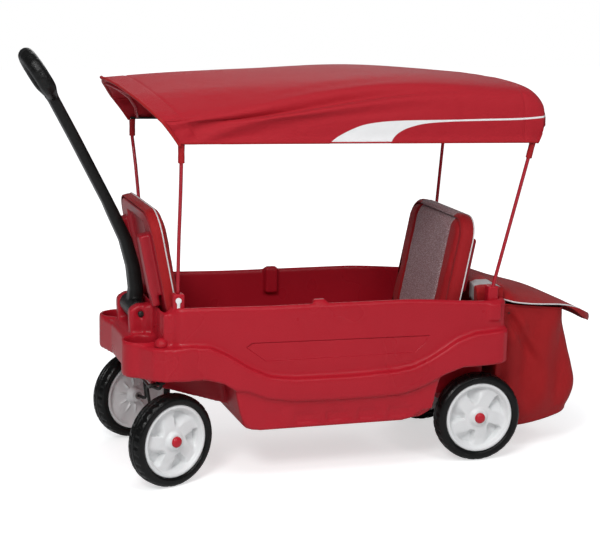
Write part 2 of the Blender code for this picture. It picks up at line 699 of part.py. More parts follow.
def corner_post(front, side):
    """A solid corner inside the wall, bored for a canopy socket."""
    if front:
        low, high = TUB_FRONT_X + 0.009, TUB_FRONT_X + 0.009 + POST_LENGTH
    else:
        low, high = TUB_REAR_X - 0.009 - POST_LENGTH - 0.010, TUB_REAR_X - 0.009
    inner, outer = side * POST_INSIDE, side * (INNER_HALF_WIDTH + 0.002)
    outline = rounded_box_outline((low, min(inner, outer)), (high, max(inner, outer)), 0.0125)
    return plan_prism(f"corner_post_{front}_{side}", outline, BENCH_HEIGHT - 0.002, RIM_HEIGHT - 0.0008)


def spigot_bore(front, side):
    x = POLE_FRONT_X if front else POLE_REAR_X
    return bar(f"spigot_bore_{front}_{side}", (x, side * POLE_SIDE, SPIGOT_HEIGHT - FACE_GAP),
               (x, side * POLE_SIDE, RIM_HEIGHT + 0.02), POST_SPIGOT + FACE_GAP)


def rim_block(side):
    """The small moulded block and rib at the middle of each side wall."""
    x = behind(WELL_MIDDLE + 0.036)
    inner, outer = side * (INNER_HALF_WIDTH - 0.018), side * (INNER_HALF_WIDTH + 0.004)
    return block(f"rim_block_{side}", (x - 0.016, min(inner, outer), RIM_HEIGHT - 0.060),
                 (x + 0.016, max(inner, outer), RIM_HEIGHT + 0.008), bevel=0.004)


def make_tub():
    tub = hull_body()
    front_keel, carrier = keel_blocks()
    cups = [cup_body(name, side) for name, side in SIDES]
    posts = [bar("kingpin_boss_" + name, (KINGPIN_X, side * KINGPIN_HALF_SPAN, TIE_HEIGHT + 0.012),
                 (KINGPIN_X, side * KINGPIN_HALF_SPAN, SHELF_HEIGHT - 0.01), KINGPIN_BOSS_RADIUS)
             for name, side in SIDES]
    join(tub, fender_band(), belly_panel(), front_keel, carrier, front_shelf(), *tower_body(), *cups, *posts)
    cut(tub, *lightening_pockets(), *tub_cavities(), handle_slot(), *[cup_bore(name, side) for name, side in SIDES])
    join(tub, *[hinge_lug(end, side) for end in ("front", "rear") for _, side in SIDES])
    join(tub, *[corner_post(front, side) for front in (True, False) for _, side in SIDES])
    join(tub, *[rim_block(side) for _, side in SIDES])
    cut(tub, *[spigot_bore(front, side) for front in (True, False) for _, side in SIDES])
    cut(tub, *[belly_relief(index, side) for index in range(5) for _, side in SIDES])
    reach = EAR_OUTSIDE + 0.01
    cut(tub, bar("pivot_bore", (PIVOT_X, -reach, PIVOT_HEIGHT), (PIVOT_X, reach, PIVOT_HEIGHT),
                 BOLT_RADIUS + BORE_GAP))
    for name, side in SIDES:
        recess = EAR_OUTSIDE - BOLT_HEAD_DEPTH
        cut(tub, bar("bolt_recess_" + name, (PIVOT_X, side * recess, PIVOT_HEIGHT),
                     (PIVOT_X, side * reach, PIVOT_HEIGHT), BOLT_HEAD_RADIUS + 0.003),
            bar("kingpin_bore_" + name, (KINGPIN_X, side * KINGPIN_HALF_SPAN, TIE_HEIGHT),
                (KINGPIN_X, side * KINGPIN_HALF_SPAN, SHELF_HEIGHT + 0.02), BUSH_RADIUS + FACE_GAP))
    wide = REAR_BLOCK_HALF_WIDTH + 0.01
    cut(tub, bar("axle_bore", (REAR_AXLE_X, -wide, AXLE_HEIGHT), (REAR_AXLE_X, wide, AXLE_HEIGHT),
                 AXLE_RADIUS + BORE_GAP))
    for end in ("front", "rear"):
        half = SEAT_ROD_HALF + 0.001
        x = seat_hinge_x(end)
        cut(tub, bar("seat_rod_bore_" + end, (x, -half, SEAT_HINGE_HEIGHT), (x, half, SEAT_HINGE_HEIGHT),
                     SEAT_ROD_RADIUS + BORE_GAP))
    tub.data.shade_smooth()
    tub.data.set_sharp_from_angle(angle=radians(30))
    return tub



def make_wheel(name, centre, turn, parent):
    """Rim, tyre and hub cap around an axis whose local Z points away from the wagon."""
    axis = add_empty("wheel_axis_" + name, centre, turn, parent)
    bore = AXLE_RADIUS if name.startswith("rear") else ROD_RADIUS
    half, lip = RIM_WIDTH / 2, RIM_RADIUS - 0.007
    profile = [(RIM_RADIUS, half), (RIM_RADIUS, -half), (RIM_RADIUS - 0.008, -half),
               (RIM_RADIUS - 0.012, -0.008), (HUB_RADIUS, -0.006), (HUB_RADIUS - 0.006, -HUB_IN),
               (bore + BORE_GAP, -HUB_IN), (bore + BORE_GAP, HUB_OUT), (HUB_RADIUS - 0.003, HUB_OUT),
               (HUB_RADIUS + 0.004, 0.013), (lip - 0.006, 0.011), (lip, half)]
    rim = turned("rim_" + name, profile, WHEEL_SIDES, WHITE_PLASTIC, axis)
    for index in range(SPOKES):
        middle = 360 * index / SPOKES + 90
        wedge = (arc((0, 0), WINDOW_OUTER, middle - 21, middle + 21, 4)
                 + arc((0, 0), WINDOW_INNER, middle + 12, middle - 12, 1))
        window = plan_prism(f"window_{name}_{index}", wedge, WINDOW_FLOOR, HUB_OUT + 0.01, parent=axis)
        window.rotation_euler.z = 0
        cut(rim, window)
    tread, side = WHEEL_RADIUS, TYRE_WIDTH / 2
    seat = RIM_RADIUS / cos(pi / WHEEL_SIDES) + FACE_GAP
    section = [(tread, side - 0.010), (tread, 0.010 - side), (tread - 0.008, 0.001 - side),
               (seat + 0.004, -side), (seat, -half), (seat, half), (seat + 0.004, side),
               (tread - 0.008, side - 0.001)]
    turned("tyre_" + name, section, WHEEL_SIDES, BLACK_RUBBER, axis)
    base, top = HUB_OUT + FACE_GAP, HUB_OUT + FACE_GAP + CAP_HEIGHT
    stem = bore - BORE_GAP
    dome = [(0, top), (CAP_RADIUS * 0.62, top - 0.0016), (CAP_RADIUS, top - 0.0060), (CAP_RADIUS, base),
            (stem, base), (stem, AXLE_END + FACE_GAP), (0, AXLE_END + FACE_GAP)]
    turned("hub_cap_" + name, dome, 16, RED_PLASTIC, axis, closed=False)
    return axis


def outward(side):
    """Turn that points local Z at the given side of the wagon."""
    return Matrix.Rotation(-side * pi / 2, 3, "X")


def make_rear_axle():
    reach = REAR_TRACK_HALF + AXLE_END
    bar("rear_axle", (REAR_AXLE_X, -reach, AXLE_HEIGHT), (REAR_AXLE_X, reach, AXLE_HEIGHT),
        AXLE_RADIUS, BARE_STEEL)
    for name, side in SIDES:
        start = REAR_BLOCK_HALF_WIDTH + FACE_GAP
        length = REAR_TRACK_HALF - HUB_IN - FACE_GAP - start
        inner, outer = AXLE_RADIUS + BORE_GAP, 0.010
        profile = [(outer, length), (outer, 0), (inner, 0), (inner, length)]
        base = add_empty("axle_spacer_place_" + name, (REAR_AXLE_X, side * start, AXLE_HEIGHT), outward(side))
        turned("axle_spacer_" + name, profile, 16, BLACK_PLASTIC, base)
        make_wheel("rear_" + name, (REAR_AXLE_X, side * REAR_TRACK_HALF, AXLE_HEIGHT), outward(side), None)


def fork_route(side):
    """Bent rod: kingpin, crank toward the middle, leg down behind, and stub axle."""
    inward = -side
    lower = CRANK_REACH - 0.004
    return [(0, 0, SHELF_HEIGHT + 0.008), (0, 0, CRANK_HEIGHT), (0, inward * CRANK_REACH, CRANK_HEIGHT),
            (TRAIL, inward * lower, AXLE_HEIGHT), (TRAIL, side * (SCRUB + AXLE_END), AXLE_HEIGHT)]


def make_steering(name, side):
    """One front wheel's swivelling fork, with its arm, bush, cap and collar."""
    axis = add_empty("kingpin_axis_" + name, (KINGPIN_X, side * KINGPIN_HALF_SPAN, 0),
                     Matrix.Rotation(STEER_ANGLE, 3, "Z"))
    wire("fork_" + name, bent_path(fork_route(side), BEND_RADIUS), ROD_RADIUS, BLACK_STEEL, axis)
    arm_low = TIE_HEIGHT + TIE_RADIUS + 0.001
    bore = ROD_RADIUS + BORE_GAP
    outline = arc((0, 0), 0.009, -90, 90, 6) + arc((-ARM_LENGTH, 0), 0.007, 90, 270, 6)
    arm = plan_prism("steering_arm_" + name, outline, arm_low, arm_low + ARM_THICKNESS, BLACK_STEEL, axis)
    cut(arm, bar("arm_bore_" + name, (0, 0, arm_low - 0.01), (0, 0, arm_low + 0.02), bore, parent=axis),
        bar("arm_hole_" + name, (-ARM_LENGTH, 0, arm_low - 0.01), (-ARM_LENGTH, 0, arm_low + 0.02),
            TIE_RADIUS + 0.0006, parent=axis))
    flange = arm_low + ARM_THICKNESS + FACE_GAP
    seat = TIE_HEIGHT + 0.012
    bush = [(BUSH_RADIUS, SHELF_HEIGHT), (BUSH_RADIUS, seat - FACE_GAP), (0.0125, seat - FACE_GAP),
            (0.0125, flange), (bore, flange), (bore, SHELF_HEIGHT)]
    bush_axis = add_empty("bush_axis_" + name, (KINGPIN_X, side * KINGPIN_HALF_SPAN, 0))
    turned("kingpin_bush_" + name, bush, 16, BLACK_PLASTIC, bush_axis)
    foot, crown = SHELF_HEIGHT + FACE_GAP, SHELF_HEIGHT + 0.019
    pocket = SHELF_HEIGHT + 0.008 + FACE_GAP
    dome = [(0, crown), (0.008, crown - 0.0020), (0.0128, crown - 0.0065), (0.015, crown - 0.013),
            (0.015, foot), (bore, foot), (bore, pocket), (0, pocket)]
    turned("kingpin_cap_" + name, dome, 20, RED_PLASTIC, axis, closed=False)
    inner = -(SCRUB - HUB_IN) + FACE_GAP
    ring = [(COLLAR_RADIUS, 0.004), (COLLAR_RADIUS, 0), (bore, 0), (bore, 0.004)]
    collar_axis = add_empty("collar_axis_" + name, (TRAIL, -side * inner, AXLE_HEIGHT), outward(-side), axis)
    turned("axle_collar_" + name, ring, 16, BARE_STEEL, collar_axis)
    make_wheel("front_" + name, (TRAIL, side * SCRUB, AXLE_HEIGHT), outward(side), axis)


def make_tie_rod():
    """Rod that keeps both forks at one angle, with its ends turned up through the arms."""
    dx, dy = -ARM_LENGTH * cos(STEER_ANGLE), -ARM_LENGTH * sin(STEER_ANGLE)
    top = TIE_HEIGHT + TIE_RADIUS + 0.001 + ARM_THICKNESS + 0.0015
    x = KINGPIN_X + dx
    ends = [side * KINGPIN_HALF_SPAN + dy for _, side in SIDES]
    axis = add_empty("tie_rod_axis", (x, ends[0], 0))
    span = ends[1] - ends[0]
    route = [(0, 0, top), (0, 0, TIE_HEIGHT), (0, span, TIE_HEIGHT), (0, span, top)]
    wire("tie_rod", bent_path(route, 0.0034, 2), TIE_RADIUS, BLACK_STEEL, axis)


def shaft_section(centre, along, width, thickness):
    """A rounded rectangle across the handle's shaft."""
    along = Vector(along).normalized()
    across = Vector((along.z, 0, -along.x))
    radius = thickness * 0.32
    ring = rounded_box_outline((-thickness / 2, -width / 2), (thickness / 2, width / 2), radius, 2)
    return [Vector(centre) + across * u + Vector((0, v, 0)) for u, v in ring]


def handle_line():
    """Centreline of the shaft from the barrel to the grip, in side view."""
    points = [(-0.0005, 0.005), (-0.0035, 0.043), (0.003, 0.0945), (0.020, 0.157), (0.0495, 0.221),
              (0.0605, 0.245), (0.1325, 0.387), (0.184, 0.485)]
    return [Vector((PIVOT_X - forward, 0, PIVOT_HEIGHT + height)) for forward, height in points]


def make_handle():
    """Blow-moulded handle: barrel, bowed shaft and ring grip in one piece."""
    axis = add_empty("handle_axis", (PIVOT_X, 0, PIVOT_HEIGHT))
    line = handle_line()
    local = Vector((PIVOT_X, 0, PIVOT_HEIGHT))
    rings = []
    for index, point in enumerate(line):
        before, after = line[max(index - 1, 0)], line[min(index + 1, len(line) - 1)]
        share = index / (len(line) - 1)
        thickness = SHAFT_THICK_BASE + (SHAFT_THICK_TOP - SHAFT_THICK_BASE) * min(1.0, share * 1.4)
        rings.append(shaft_section(point - local, after - before, SHAFT_WIDTH, thickness))
    handle = loft("handle", rings, BLACK_PLASTIC, axis)
    half = EAR_INSIDE - 0.0015
    barrel = bar("handle_barrel", (0, -half, 0), (0, half, 0), BARREL_RADIUS, parent=axis, sides=24)
    along = (line[-1] - line[-2]).normalized()
    lean = (along + Vector((-0.08, 0, 0))).normalized()
    middle = line[-1] - local + lean * (GRIP_HALF_LENGTH - 0.006)
    ring = []
    for i in range(20):
        angle = 2 * pi * i / 20
        ring.append(middle + lean * (GRIP_HALF_LENGTH * cos(angle)) + Vector((0, GRIP_HALF_WIDTH * sin(angle), 0)))
    grip = wire("handle_grip", ring, GRIP_RADIUS, parent=axis, resolution=3, cyclic=True)
    join(handle, barrel, grip)
    cut(handle, bar("barrel_bore", (0, -0.07, 0), (0, 0.07, 0), BOLT_RADIUS + BORE_GAP, parent=axis))
    smooth_round(handle, 35)
    return middle + local, lean


def make_handle_bolt():
    """The cross bolt through both ears and its nut."""
    recess = EAR_OUTSIDE - BOLT_HEAD_DEPTH
    head = -recess - FACE_GAP
    profile_end = recess + FACE_GAP + 0.006
    bolt = bar("handle_bolt", (PIVOT_X, head - 0.001, PIVOT_HEIGHT), (PIVOT_X, profile_end, PIVOT_HEIGHT),
               BOLT_RADIUS, BLACK_STEEL)
    join(bolt, bar("bolt_head", (PIVOT_X, head, PIVOT_HEIGHT), (PIVOT_X, head - 0.004, PIVOT_HEIGHT),
                   BOLT_HEAD_RADIUS, end_radius=BOLT_HEAD_RADIUS * 0.7))
    nut_start = recess + FACE_GAP
    nut = bar("handle_nut", (PIVOT_X, nut_start, PIVOT_HEIGHT), (PIVOT_X, nut_start + 0.005, PIVOT_HEIGHT),
              BOLT_HEAD_RADIUS, BARE_STEEL, sides=6)
    cut(nut, bar("nut_bore", (PIVOT_X, nut_start - 0.01, PIVOT_HEIGHT), (PIVOT_X, nut_start + 0.02, PIVOT_HEIGHT),
                 BOLT_RADIUS + BORE_GAP))


def seat_outline(inset, low, top):
    """Face view of a seat back, with large rounded top corners."""
    half, corner = SEAT_HALF_WIDTH - inset, SEAT_CORNER - inset
    return ([(-half, low), (half, low)] + arc((half - corner, top - corner), corner, 0, 90, 5)
            + arc((corner - half, top - corner), corner, 90, 180, 5))


def make_seat(end):
    """A folding seat back: moulded panel, two braces behind it and a padded cover."""
    spin = pi if end == "front" else 0.0
    length = SEAT_FRONT_LENGTH if end == "front" else SEAT_REAR_LENGTH
    turn = Matrix.Rotation(spin, 3, "Z") @ Matrix.Rotation(SEAT_LEAN, 3, "Y")
    axis = add_empty("seat_axis_" + end, (seat_hinge_x(end), 0, SEAT_HINGE_HEIGHT), turn)
    half = SEAT_THICKNESS / 2
    panel = front_prism("seat_back_" + end, seat_outline(0, -0.011, length), -half, half, RED_PLASTIC, axis)
    brace_low = (RIM_HEIGHT + BRACE_RISE - SEAT_HINGE_HEIGHT) / cos(SEAT_LEAN)
    braces = [block(f"brace_{end}_{side}", (half - 0.003, side * BRACE_SIDE - BRACE_WIDTH / 2, brace_low),
                    (half + BRACE_DEPTH, side * BRACE_SIDE + BRACE_WIDTH / 2, length - BRACE_MARGIN),
                    parent=axis, bevel=0.006) for _, side in SIDES]
    join(panel, *braces)
    cut(panel, bar("seat_bore_" + end, (0, -0.2, 0), (0, 0.2, 0), SEAT_ROD_RADIUS + BORE_GAP, parent=axis))
    make_seat_pad(end, axis, half, length)
    x = seat_hinge_x(end)
    bar("seat_hinge_rod_" + end, (x, -SEAT_ROD_HALF, SEAT_HINGE_HEIGHT), (x, SEAT_ROD_HALF, SEAT_HINGE_HEIGHT),
        SEAT_ROD_RADIUS, BARE_STEEL)


def make_seat_pad(end, axis, half, length):
    """Padded cover: crowned middle, drawn-in sides, two upright channels and raised wings."""
    columns, rows = 12, 10
    low, top = 0.016, length - 0.002
    back = -half - FACE_GAP
    wing_start = length - WING_LENGTH

    def side_reach(z):
        corner = max(0.0, z - (top - SEAT_CORNER)) / SEAT_CORNER
        drawn = 0.004 * sin(pi * (z - low) / (top - low))
        return (SEAT_HALF_WIDTH - 0.004) - drawn - SEAT_CORNER * (1 - (1 - min(corner, 0.94) ** 2) ** 0.5)

    def depth(u, z):
        edge = (1 - abs(u) ** 6) ** 0.5
        height = (z - low) / (top - low)
        crown = PAD_THICKNESS * (0.45 + 0.55 * edge) * min(1.0, 8 * height + 0.35, 8 * (1 - height) + 0.35)
        channel = 0.006 * max(0.0, 1 - abs(abs(u) - 0.5) / 0.08)
        lift = min(1.0, max(0.0, (z - wing_start) / 0.05))
        wing = 0.016 * lift * max(0.0, (abs(u) - 0.62) / 0.38) * min(1.0, 5 * (1 - height))
        return crown - channel + wing

    rings = []
    for row in range(rows + 1):
        z = low + (top - low) * row / rows
        reach = side_reach(z)
        steps = [2 * column / columns - 1 for column in range(columns + 1)]
        fronts = [Vector((back - depth(u, z), u * reach, z)) for u in steps]
        rings.append(fronts + [Vector((back, reach, z)), Vector((back, -reach, z))])
    pad = loft("seat_pad_" + end, rings, RED_FABRIC, axis)
    smooth_round(pad, 60)


def fabric_underside(x, y):
    """Height of the roof's lower face over a place close to its hem."""
    across = y / CANOPY_HALF_WIDTH
    share = (x - canopy_section(0, across).x) / (CANOPY_BACK_X - canopy_section(0, across).x)
    here = canopy_section(share, across)
    beside = canopy_section(share, across * 0.98)
    slope = (beside.z - here.z) / abs(beside.y - here.y)
    return here.z - CANOPY_THICKNESS * (1 + slope * slope) ** 0.5


def pole_top(front, side):
    """Where a pole ends in the sewn sleeve at the canopy's corner."""
    y = CANOPY_HALF_WIDTH - CANOPY_THICKNESS - 2 * FABRIC_GAP - SLEEVE_RADIUS
    if front:
        x = CANOPY_FRONT_X + 0.004
        return Vector((x, side * y, fabric_underside(x, y + SLEEVE_RADIUS) - FABRIC_GAP))
    return Vector((CANOPY_BACK_X - POLE_REAR_MARGIN, side * y, CANOPY_HEM + 0.0045))


def pole_path(front, side):
    """A pole stands straight in its socket, then bows out to the canopy's corner."""
    foot = Vector((POLE_FRONT_X if front else POLE_REAR_X, side * POLE_SIDE, POLE_FOOT))
    neck = Vector((foot.x, foot.y, SOCKET_HEIGHT + 0.006))
    top = pole_top(front, side)
    points = [neck]
    for share, bow in ((0.12, 0.10), (0.35, 0.33), (0.65, 0.70), (0.88, 0.91)):
        place = neck.lerp(top, share)
        place.x = neck.x + (top.x - neck.x) * share
        place.y = neck.y + (top.y - neck.y) * bow
        points.append(place)
    tip = top - Vector((0, 0, SLEEVE_LENGTH + 0.004))
    points = [p for p in points if p.z < tip.z - 0.01] + [tip]
    return [foot] + smooth_path(points, 2) + [top]


def make_poles():
    for place, front in (("front", True), ("rear", False)):
        for name, side in SIDES:
            label = f"{place}_{name}"
            wire("pole_" + label, pole_path(front, side), POLE_RADIUS, RED_PAINT, resolution=1)
            make_socket(label, front, side)
            make_sleeve(label, pole_top(front, side))


def make_sleeve(label, top):
    """The sewn tube at the canopy's corner that a pole's end slips into."""
    inner = POLE_RADIUS + FACE_GAP
    high, low = 0.0, -SLEEVE_LENGTH
    profile = [(SLEEVE_RADIUS, high), (SLEEVE_RADIUS, low), (inner, low), (inner, high)]
    axis = add_empty("sleeve_axis_" + label, top)
    turned("sleeve_" + label, profile, 12, RED_FABRIC, axis)


def make_socket(label, front, side):
    """A moulded socket on the rim's corner, with a spigot down into the tub."""
    x = POLE_FRONT_X if front else POLE_REAR_X
    y, half = side * POLE_SIDE, SOCKET_HALF
    low = RIM_HEIGHT + FACE_GAP
    socket = block("pole_socket_" + label, (x - half, y - half, low), (x + half, y + half, SOCKET_HEIGHT),
                   RED_PLASTIC, bevel=0.004)
    join(socket, bar("spigot_" + label, (x, y, SPIGOT_HEIGHT), (x, y, low + 0.01), POST_SPIGOT))
    cut(socket, bar("pole_bore_" + label, (x, y, POLE_FOOT - FACE_GAP), (x, y, SOCKET_HEIGHT + 0.02),
                    POLE_RADIUS + RUNNING_GAP, sides=12))
    if front:
        make_clip(label.split("_")[1], x, side)


def make_clip(name, x, side):
    """White keyhole clip on the outer face of a front socket."""
    face = side * (POLE_SIDE + SOCKET_HALF) + side * FACE_GAP
    middle = SOCKET_HEIGHT - 0.014
    outline = (arc((x, middle), 0.0068, -60, 240, 10)
               + [(x - 0.0034, RIM_HEIGHT + 0.006), (x + 0.0034, RIM_HEIGHT + 0.006)])
    clip = side_prism("pole_clip_" + name, outline, min(face, face + side * 0.003), max(face, face + side * 0.003),
                      WHITE_PLASTIC)
    return clip


def hem_height(share):
    """The hem falls slightly from front (0) to back (1)."""
    return CANOPY_HEM + HEM_DROP * (1 - share)


def ridge_height(share):
    """Height of the canopy's middle line from front (0) to back (1)."""
    if share < 0.45:
        t = share / 0.45
        return CANOPY_FRONT_TOP + (CANOPY_RIDGE - CANOPY_FRONT_TOP) * sin(t * pi / 2)
    t = (share - 0.45) / 0.55
    return CANOPY_RIDGE + (CANOPY_REAR_TOP - CANOPY_RIDGE) * (1 - cos(t * pi / 2))


def canopy_section(share, across, inset=0.0):
    """A point of the roof: share runs front to back, across runs from -1 to 1."""
    half = CANOPY_HALF_WIDTH - inset
    t = abs(across)
    boxy = min(1.0, share * 1.25)
    arch = 1 - t ** 2
    square = (1 - t ** (4 + 4 * boxy)) ** (1 / (2.0 + 1.5 * boxy))
    rise = arch * (1 - boxy) + square * boxy
    top = ridge_height(share) - inset
    start = CANOPY_FRONT_X - CANOPY_VISOR * cos(pi * t / 2) ** 2 + inset
    x = start + (CANOPY_BACK_X - inset - start) * share
    hem = hem_height(share)
    return Vector((x, across * half, hem + (top - hem) * rise))


def canopy_across():
    """Steps across the roof, closer together near the sides."""
    return [sin(pi / 2 * (2 * i / CANOPY_COLUMNS - 1)) for i in range(CANOPY_COLUMNS + 1)]


def make_canopy():
    """Sewn roof: arched visor in front, boxy back end closed down to the hem."""
    shape = bmesh.new()
    rows = [[canopy_section(row / CANOPY_ROWS, across) for across in canopy_across()]
            for row in range(CANOPY_ROWS + 1)]
    for share in (0.5, 0.0):
        rows.append([Vector((p.x + 0.002, p.y, CANOPY_HEM + (p.z - CANOPY_HEM) * share)) for p in rows[CANOPY_ROWS]])
    grid = [[shape.verts.new(p) for p in row] for row in rows]
    for first, second in zip(grid, grid[1:]):
        for i in range(CANOPY_COLUMNS):
            shape.faces.new((first[i], first[i + 1], second[i + 1], second[i]))
    bmesh.ops.remove_doubles(shape, verts=shape.verts, dist=0.0005)
    canopy = from_bmesh("canopy_fabric", shape, RED_FABRIC)
    if canopy.data.polygons[len(canopy.data.polygons) // 3].normal.z < 0:
        canopy.data.flip_normals()
    skin = canopy.modifiers.new("cloth", "SOLIDIFY")
    skin.thickness = CANOPY_THICKNESS
    skin.offset = -1.0
    return smooth_round(canopy, 60)


def bow_path(share, depth, left_out):
    """Points just inside the roof, from one side to the other, in line with its folds."""
    points = []
    for across in canopy_across()[left_out:-left_out]:
        here = canopy_section(share, across)
        along = canopy_section(share + 0.01, across) - here
        beside = canopy_section(share, across + 0.004) - canopy_section(share, across - 0.004)
        inside = beside.cross(along).normalized()
        points.append(here + inside * depth)
    return points


def make_bows():
    """The bent rods that hold the roof's shape, and the rails along its hem."""
    depth = CANOPY_THICKNESS + FABRIC_GAP + BOW_RADIUS
    length = CANOPY_BACK_X - CANOPY_FRONT_X
    for name, share, left_out in (("front", BOW_MARGIN / length, 2), ("rear", 1 - BOW_REAR_MARGIN / length, 1)):
        wire("canopy_bow_" + name, bow_path(share, depth, left_out), BOW_RADIUS, BLACK_STEEL, resolution=1)
    for name, side in SIDES:
        front, rear = pole_top(True, side), pole_top(False, side)
        height = front.z + FACE_GAP + RAIL_RADIUS
        y = front.y - side * RAIL_INSET
        end = rear.x - SLEEVE_RADIUS - FACE_GAP
        fall = HEM_DROP * (end - front.x) / length
        bar("canopy_rail_" + name, (front.x - POLE_RADIUS, y, height), (end, y, height - fall),
            RAIL_RADIUS, BLACK_STEEL, sides=8)


def bag_ring(front, back, half, inset, height):
    """Level section of the bag, with tight corners at the tub and round ones behind."""
    tight, wide = BAG_FRONT_CORNER - inset, BAG_BACK_CORNER - inset
    front, back, half = front + inset, back - inset, half - inset
    outline = (arc((back - wide, wide - half), wide, -90, 0, 3) + arc((back - wide, half - wide), wide, 0, 90, 3)
               + arc((front + tight, half - tight), tight, 90, 180, 2)
               + arc((front + tight, tight - half), tight, 180, 270, 2))
    return [Vector((x, y, height(x))) for x, y in outline]


def bag_levels():
    """(height, reach, half width, slope) of the bag, from its bottom to its mouth."""
    return [(BAG_BOTTOM, BAG_LOW_REACH - 0.022, BAG_LOW_HALF_WIDTH - 0.012, BAG_BOTTOM_SLOPE),
            (BAG_BOTTOM + 0.026, BAG_LOW_REACH, BAG_LOW_HALF_WIDTH, BAG_BOTTOM_SLOPE),
            (BAG_BOTTOM + 0.110, BAG_LOW_REACH - 0.003, BAG_LOW_HALF_WIDTH, 0),
            (BAG_BOTTOM + 0.170, BAG_LOW_REACH - 0.009, BAG_TOP_HALF_WIDTH - 0.006, 0),
            (BAG_MOUTH - 0.086, BAG_TOP_REACH + 0.006, BAG_TOP_HALF_WIDTH, 0)]


def mouth_height(x):
    """The bag's mouth slopes down toward the back, under the flap."""
    return BAG_MOUTH - (x - TUB_REAR_X) * tan(MOUTH_SLOPE)


def make_bag():
    """Hanging bag with an open mouth, on a steel hoop that stands out from the tub."""
    front = TUB_REAR_X + 0.0015
    outer, inner = [], []
    for level, reach, half, slope in bag_levels():
        back = TUB_REAR_X + reach
        outer.append(bag_ring(front, back, half, 0, lambda x: level + slope * (x - front)))
        inner.append(bag_ring(front, back, half, BAG_WALL, lambda x: level + BAG_WALL + slope * (x - front)))
    back_top, half = TUB_REAR_X + BAG_TOP_REACH, BAG_TOP_HALF_WIDTH
    outer.append(bag_ring(front, back_top, half, 0, mouth_height))
    inner.append(bag_ring(front, back_top, half, BAG_WALL, mouth_height))
    inner.append([point + Vector((0, 0, 0.05)) for point in inner[-1]])
    bag = loft("storage_bag", outer, RED_FABRIC)
    cut(bag, loft("bag_inside", inner))
    smooth_round(bag, 50)
    gap = BAG_WALL + HOOP_RADIUS + 0.0007
    side, back = BAG_TOP_HALF_WIDTH - gap, back_top - gap
    drop = 0.016
    start = TUB_REAR_X + 0.012
    route = [(start, -side, mouth_height(start) - drop), (back, -side, mouth_height(back) - drop),
             (back, side, mouth_height(back) - drop), (start, side, mouth_height(start) - drop)]
    wire("bag_hoop", bent_path(route, BAG_BACK_CORNER - gap, 3), HOOP_RADIUS, BLACK_STEEL, resolution=1)


def make_bag_cover():
    """Crowned cloth that closes the space behind the rear seat and crosses the rim."""
    rear = TUB_REAR_X + COVER_OVERHANG
    low = RIM_HEIGHT + FACE_GAP
    rings = []
    for back, share in ((COVER_LENGTH, 0.70), (COVER_LENGTH - 0.016, 1.0), (0.026, 0.92), (0.012, 0.45), (0, 0.0)):
        top, under = [], []
        for i in range(13):
            across = 2 * i / 12 - 1
            lift = COVER_CROWN * share * (1 - across ** 4)
            top.append(Vector((rear - back, across * COVER_HALF_WIDTH, low + FLAP_THICKNESS + lift)))
            under.append(Vector((rear - back, across * COVER_HALF_WIDTH, low + lift)))
        rings.append(top + under[::-1])
    smooth_round(loft("bag_cover", rings, RED_FABRIC), 50)


def flap_edge(steps):
    """Plan of the flap: straight sides that round into a tongue."""
    start = TUB_REAR_X + COVER_OVERHANG + FACE_GAP + HINGE_ROLL
    half = FLAP_HALF_WIDTH
    length = TUB_REAR_X + FLAP_LENGTH - start
    points = []
    for i in range(steps + 1):
        angle = -pi / 2 + pi * i / steps
        points.append((start + length * abs(cos(angle)) ** 0.62, half * sin(angle)))
    return start, points


def make_flap():
    """The lid of the bag, hinged by its own cloth at the tub's back rim."""
    start, edge = flap_edge(14)
    top = RIM_HEIGHT + FACE_GAP + FLAP_THICKNESS
    axis = add_empty("flap_axis", (start, 0, top - FLAP_THICKNESS / 2))

    def surface(x, y):
        away = x - start
        droop = FLAP_DROOP * min(1.0, away / 0.030) * max(0.0, 1 - away / FLAP_FLAT)
        return -away * tan(FLAP_SLOPE) - droop * (abs(y) / FLAP_HALF_WIDTH) ** 2

    shape = bmesh.new()
    count = len(edge)
    shares = (0.0, 0.33, 0.66, 1.0)
    rows = []
    for share in shares:
        row = []
        for x, y in edge:
            px = start + (x - start) * share
            row.append(shape.verts.new((px - start, y, surface(px, y))))
        rows.append(row)
    for first, second in zip(rows, rows[1:]):
        for i in range(count - 1):
            corners = [first[i], first[i + 1], second[i + 1], second[i]]
            shape.faces.new(corners)
    bmesh.ops.remove_doubles(shape, verts=shape.verts, dist=0.0008)
    flap = from_bmesh("bag_flap", shape, RED_FABRIC, axis)
    if flap.data.polygons[0].normal.z < 0:
        flap.data.flip_normals()
    skin = flap.modifiers.new("cloth", "SOLIDIFY")
    skin.thickness = FLAP_THICKNESS
    skin.offset = 0.0
    half = COVER_HALF_WIDTH - 0.020
    join(flap, bar("flap_roll", (0, -half, 0), (0, half, 0), HINGE_ROLL, parent=axis, sides=12))
    return smooth_round(flap, 60)


make_tub()
make_rear_axle()
for side_name, side_sign in SIDES:
    make_steering(side_name, side_sign)
make_tie_rod()
make_handle()
make_handle_bolt()
make_seat("front")
make_seat("rear")
make_poles()
make_canopy()
make_bows()
make_bag()
make_bag_cover()
make_flap()
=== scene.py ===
"""Dresses the hand-pulled wagon: moulded tub, sewn canopy, padded seats, rear bag and wheels."""

import json
from math import atan2, copysign, cos, exp, hypot, pi, radians, sin

import bmesh
import bpy
from mathutils import Matrix, Vector, noise


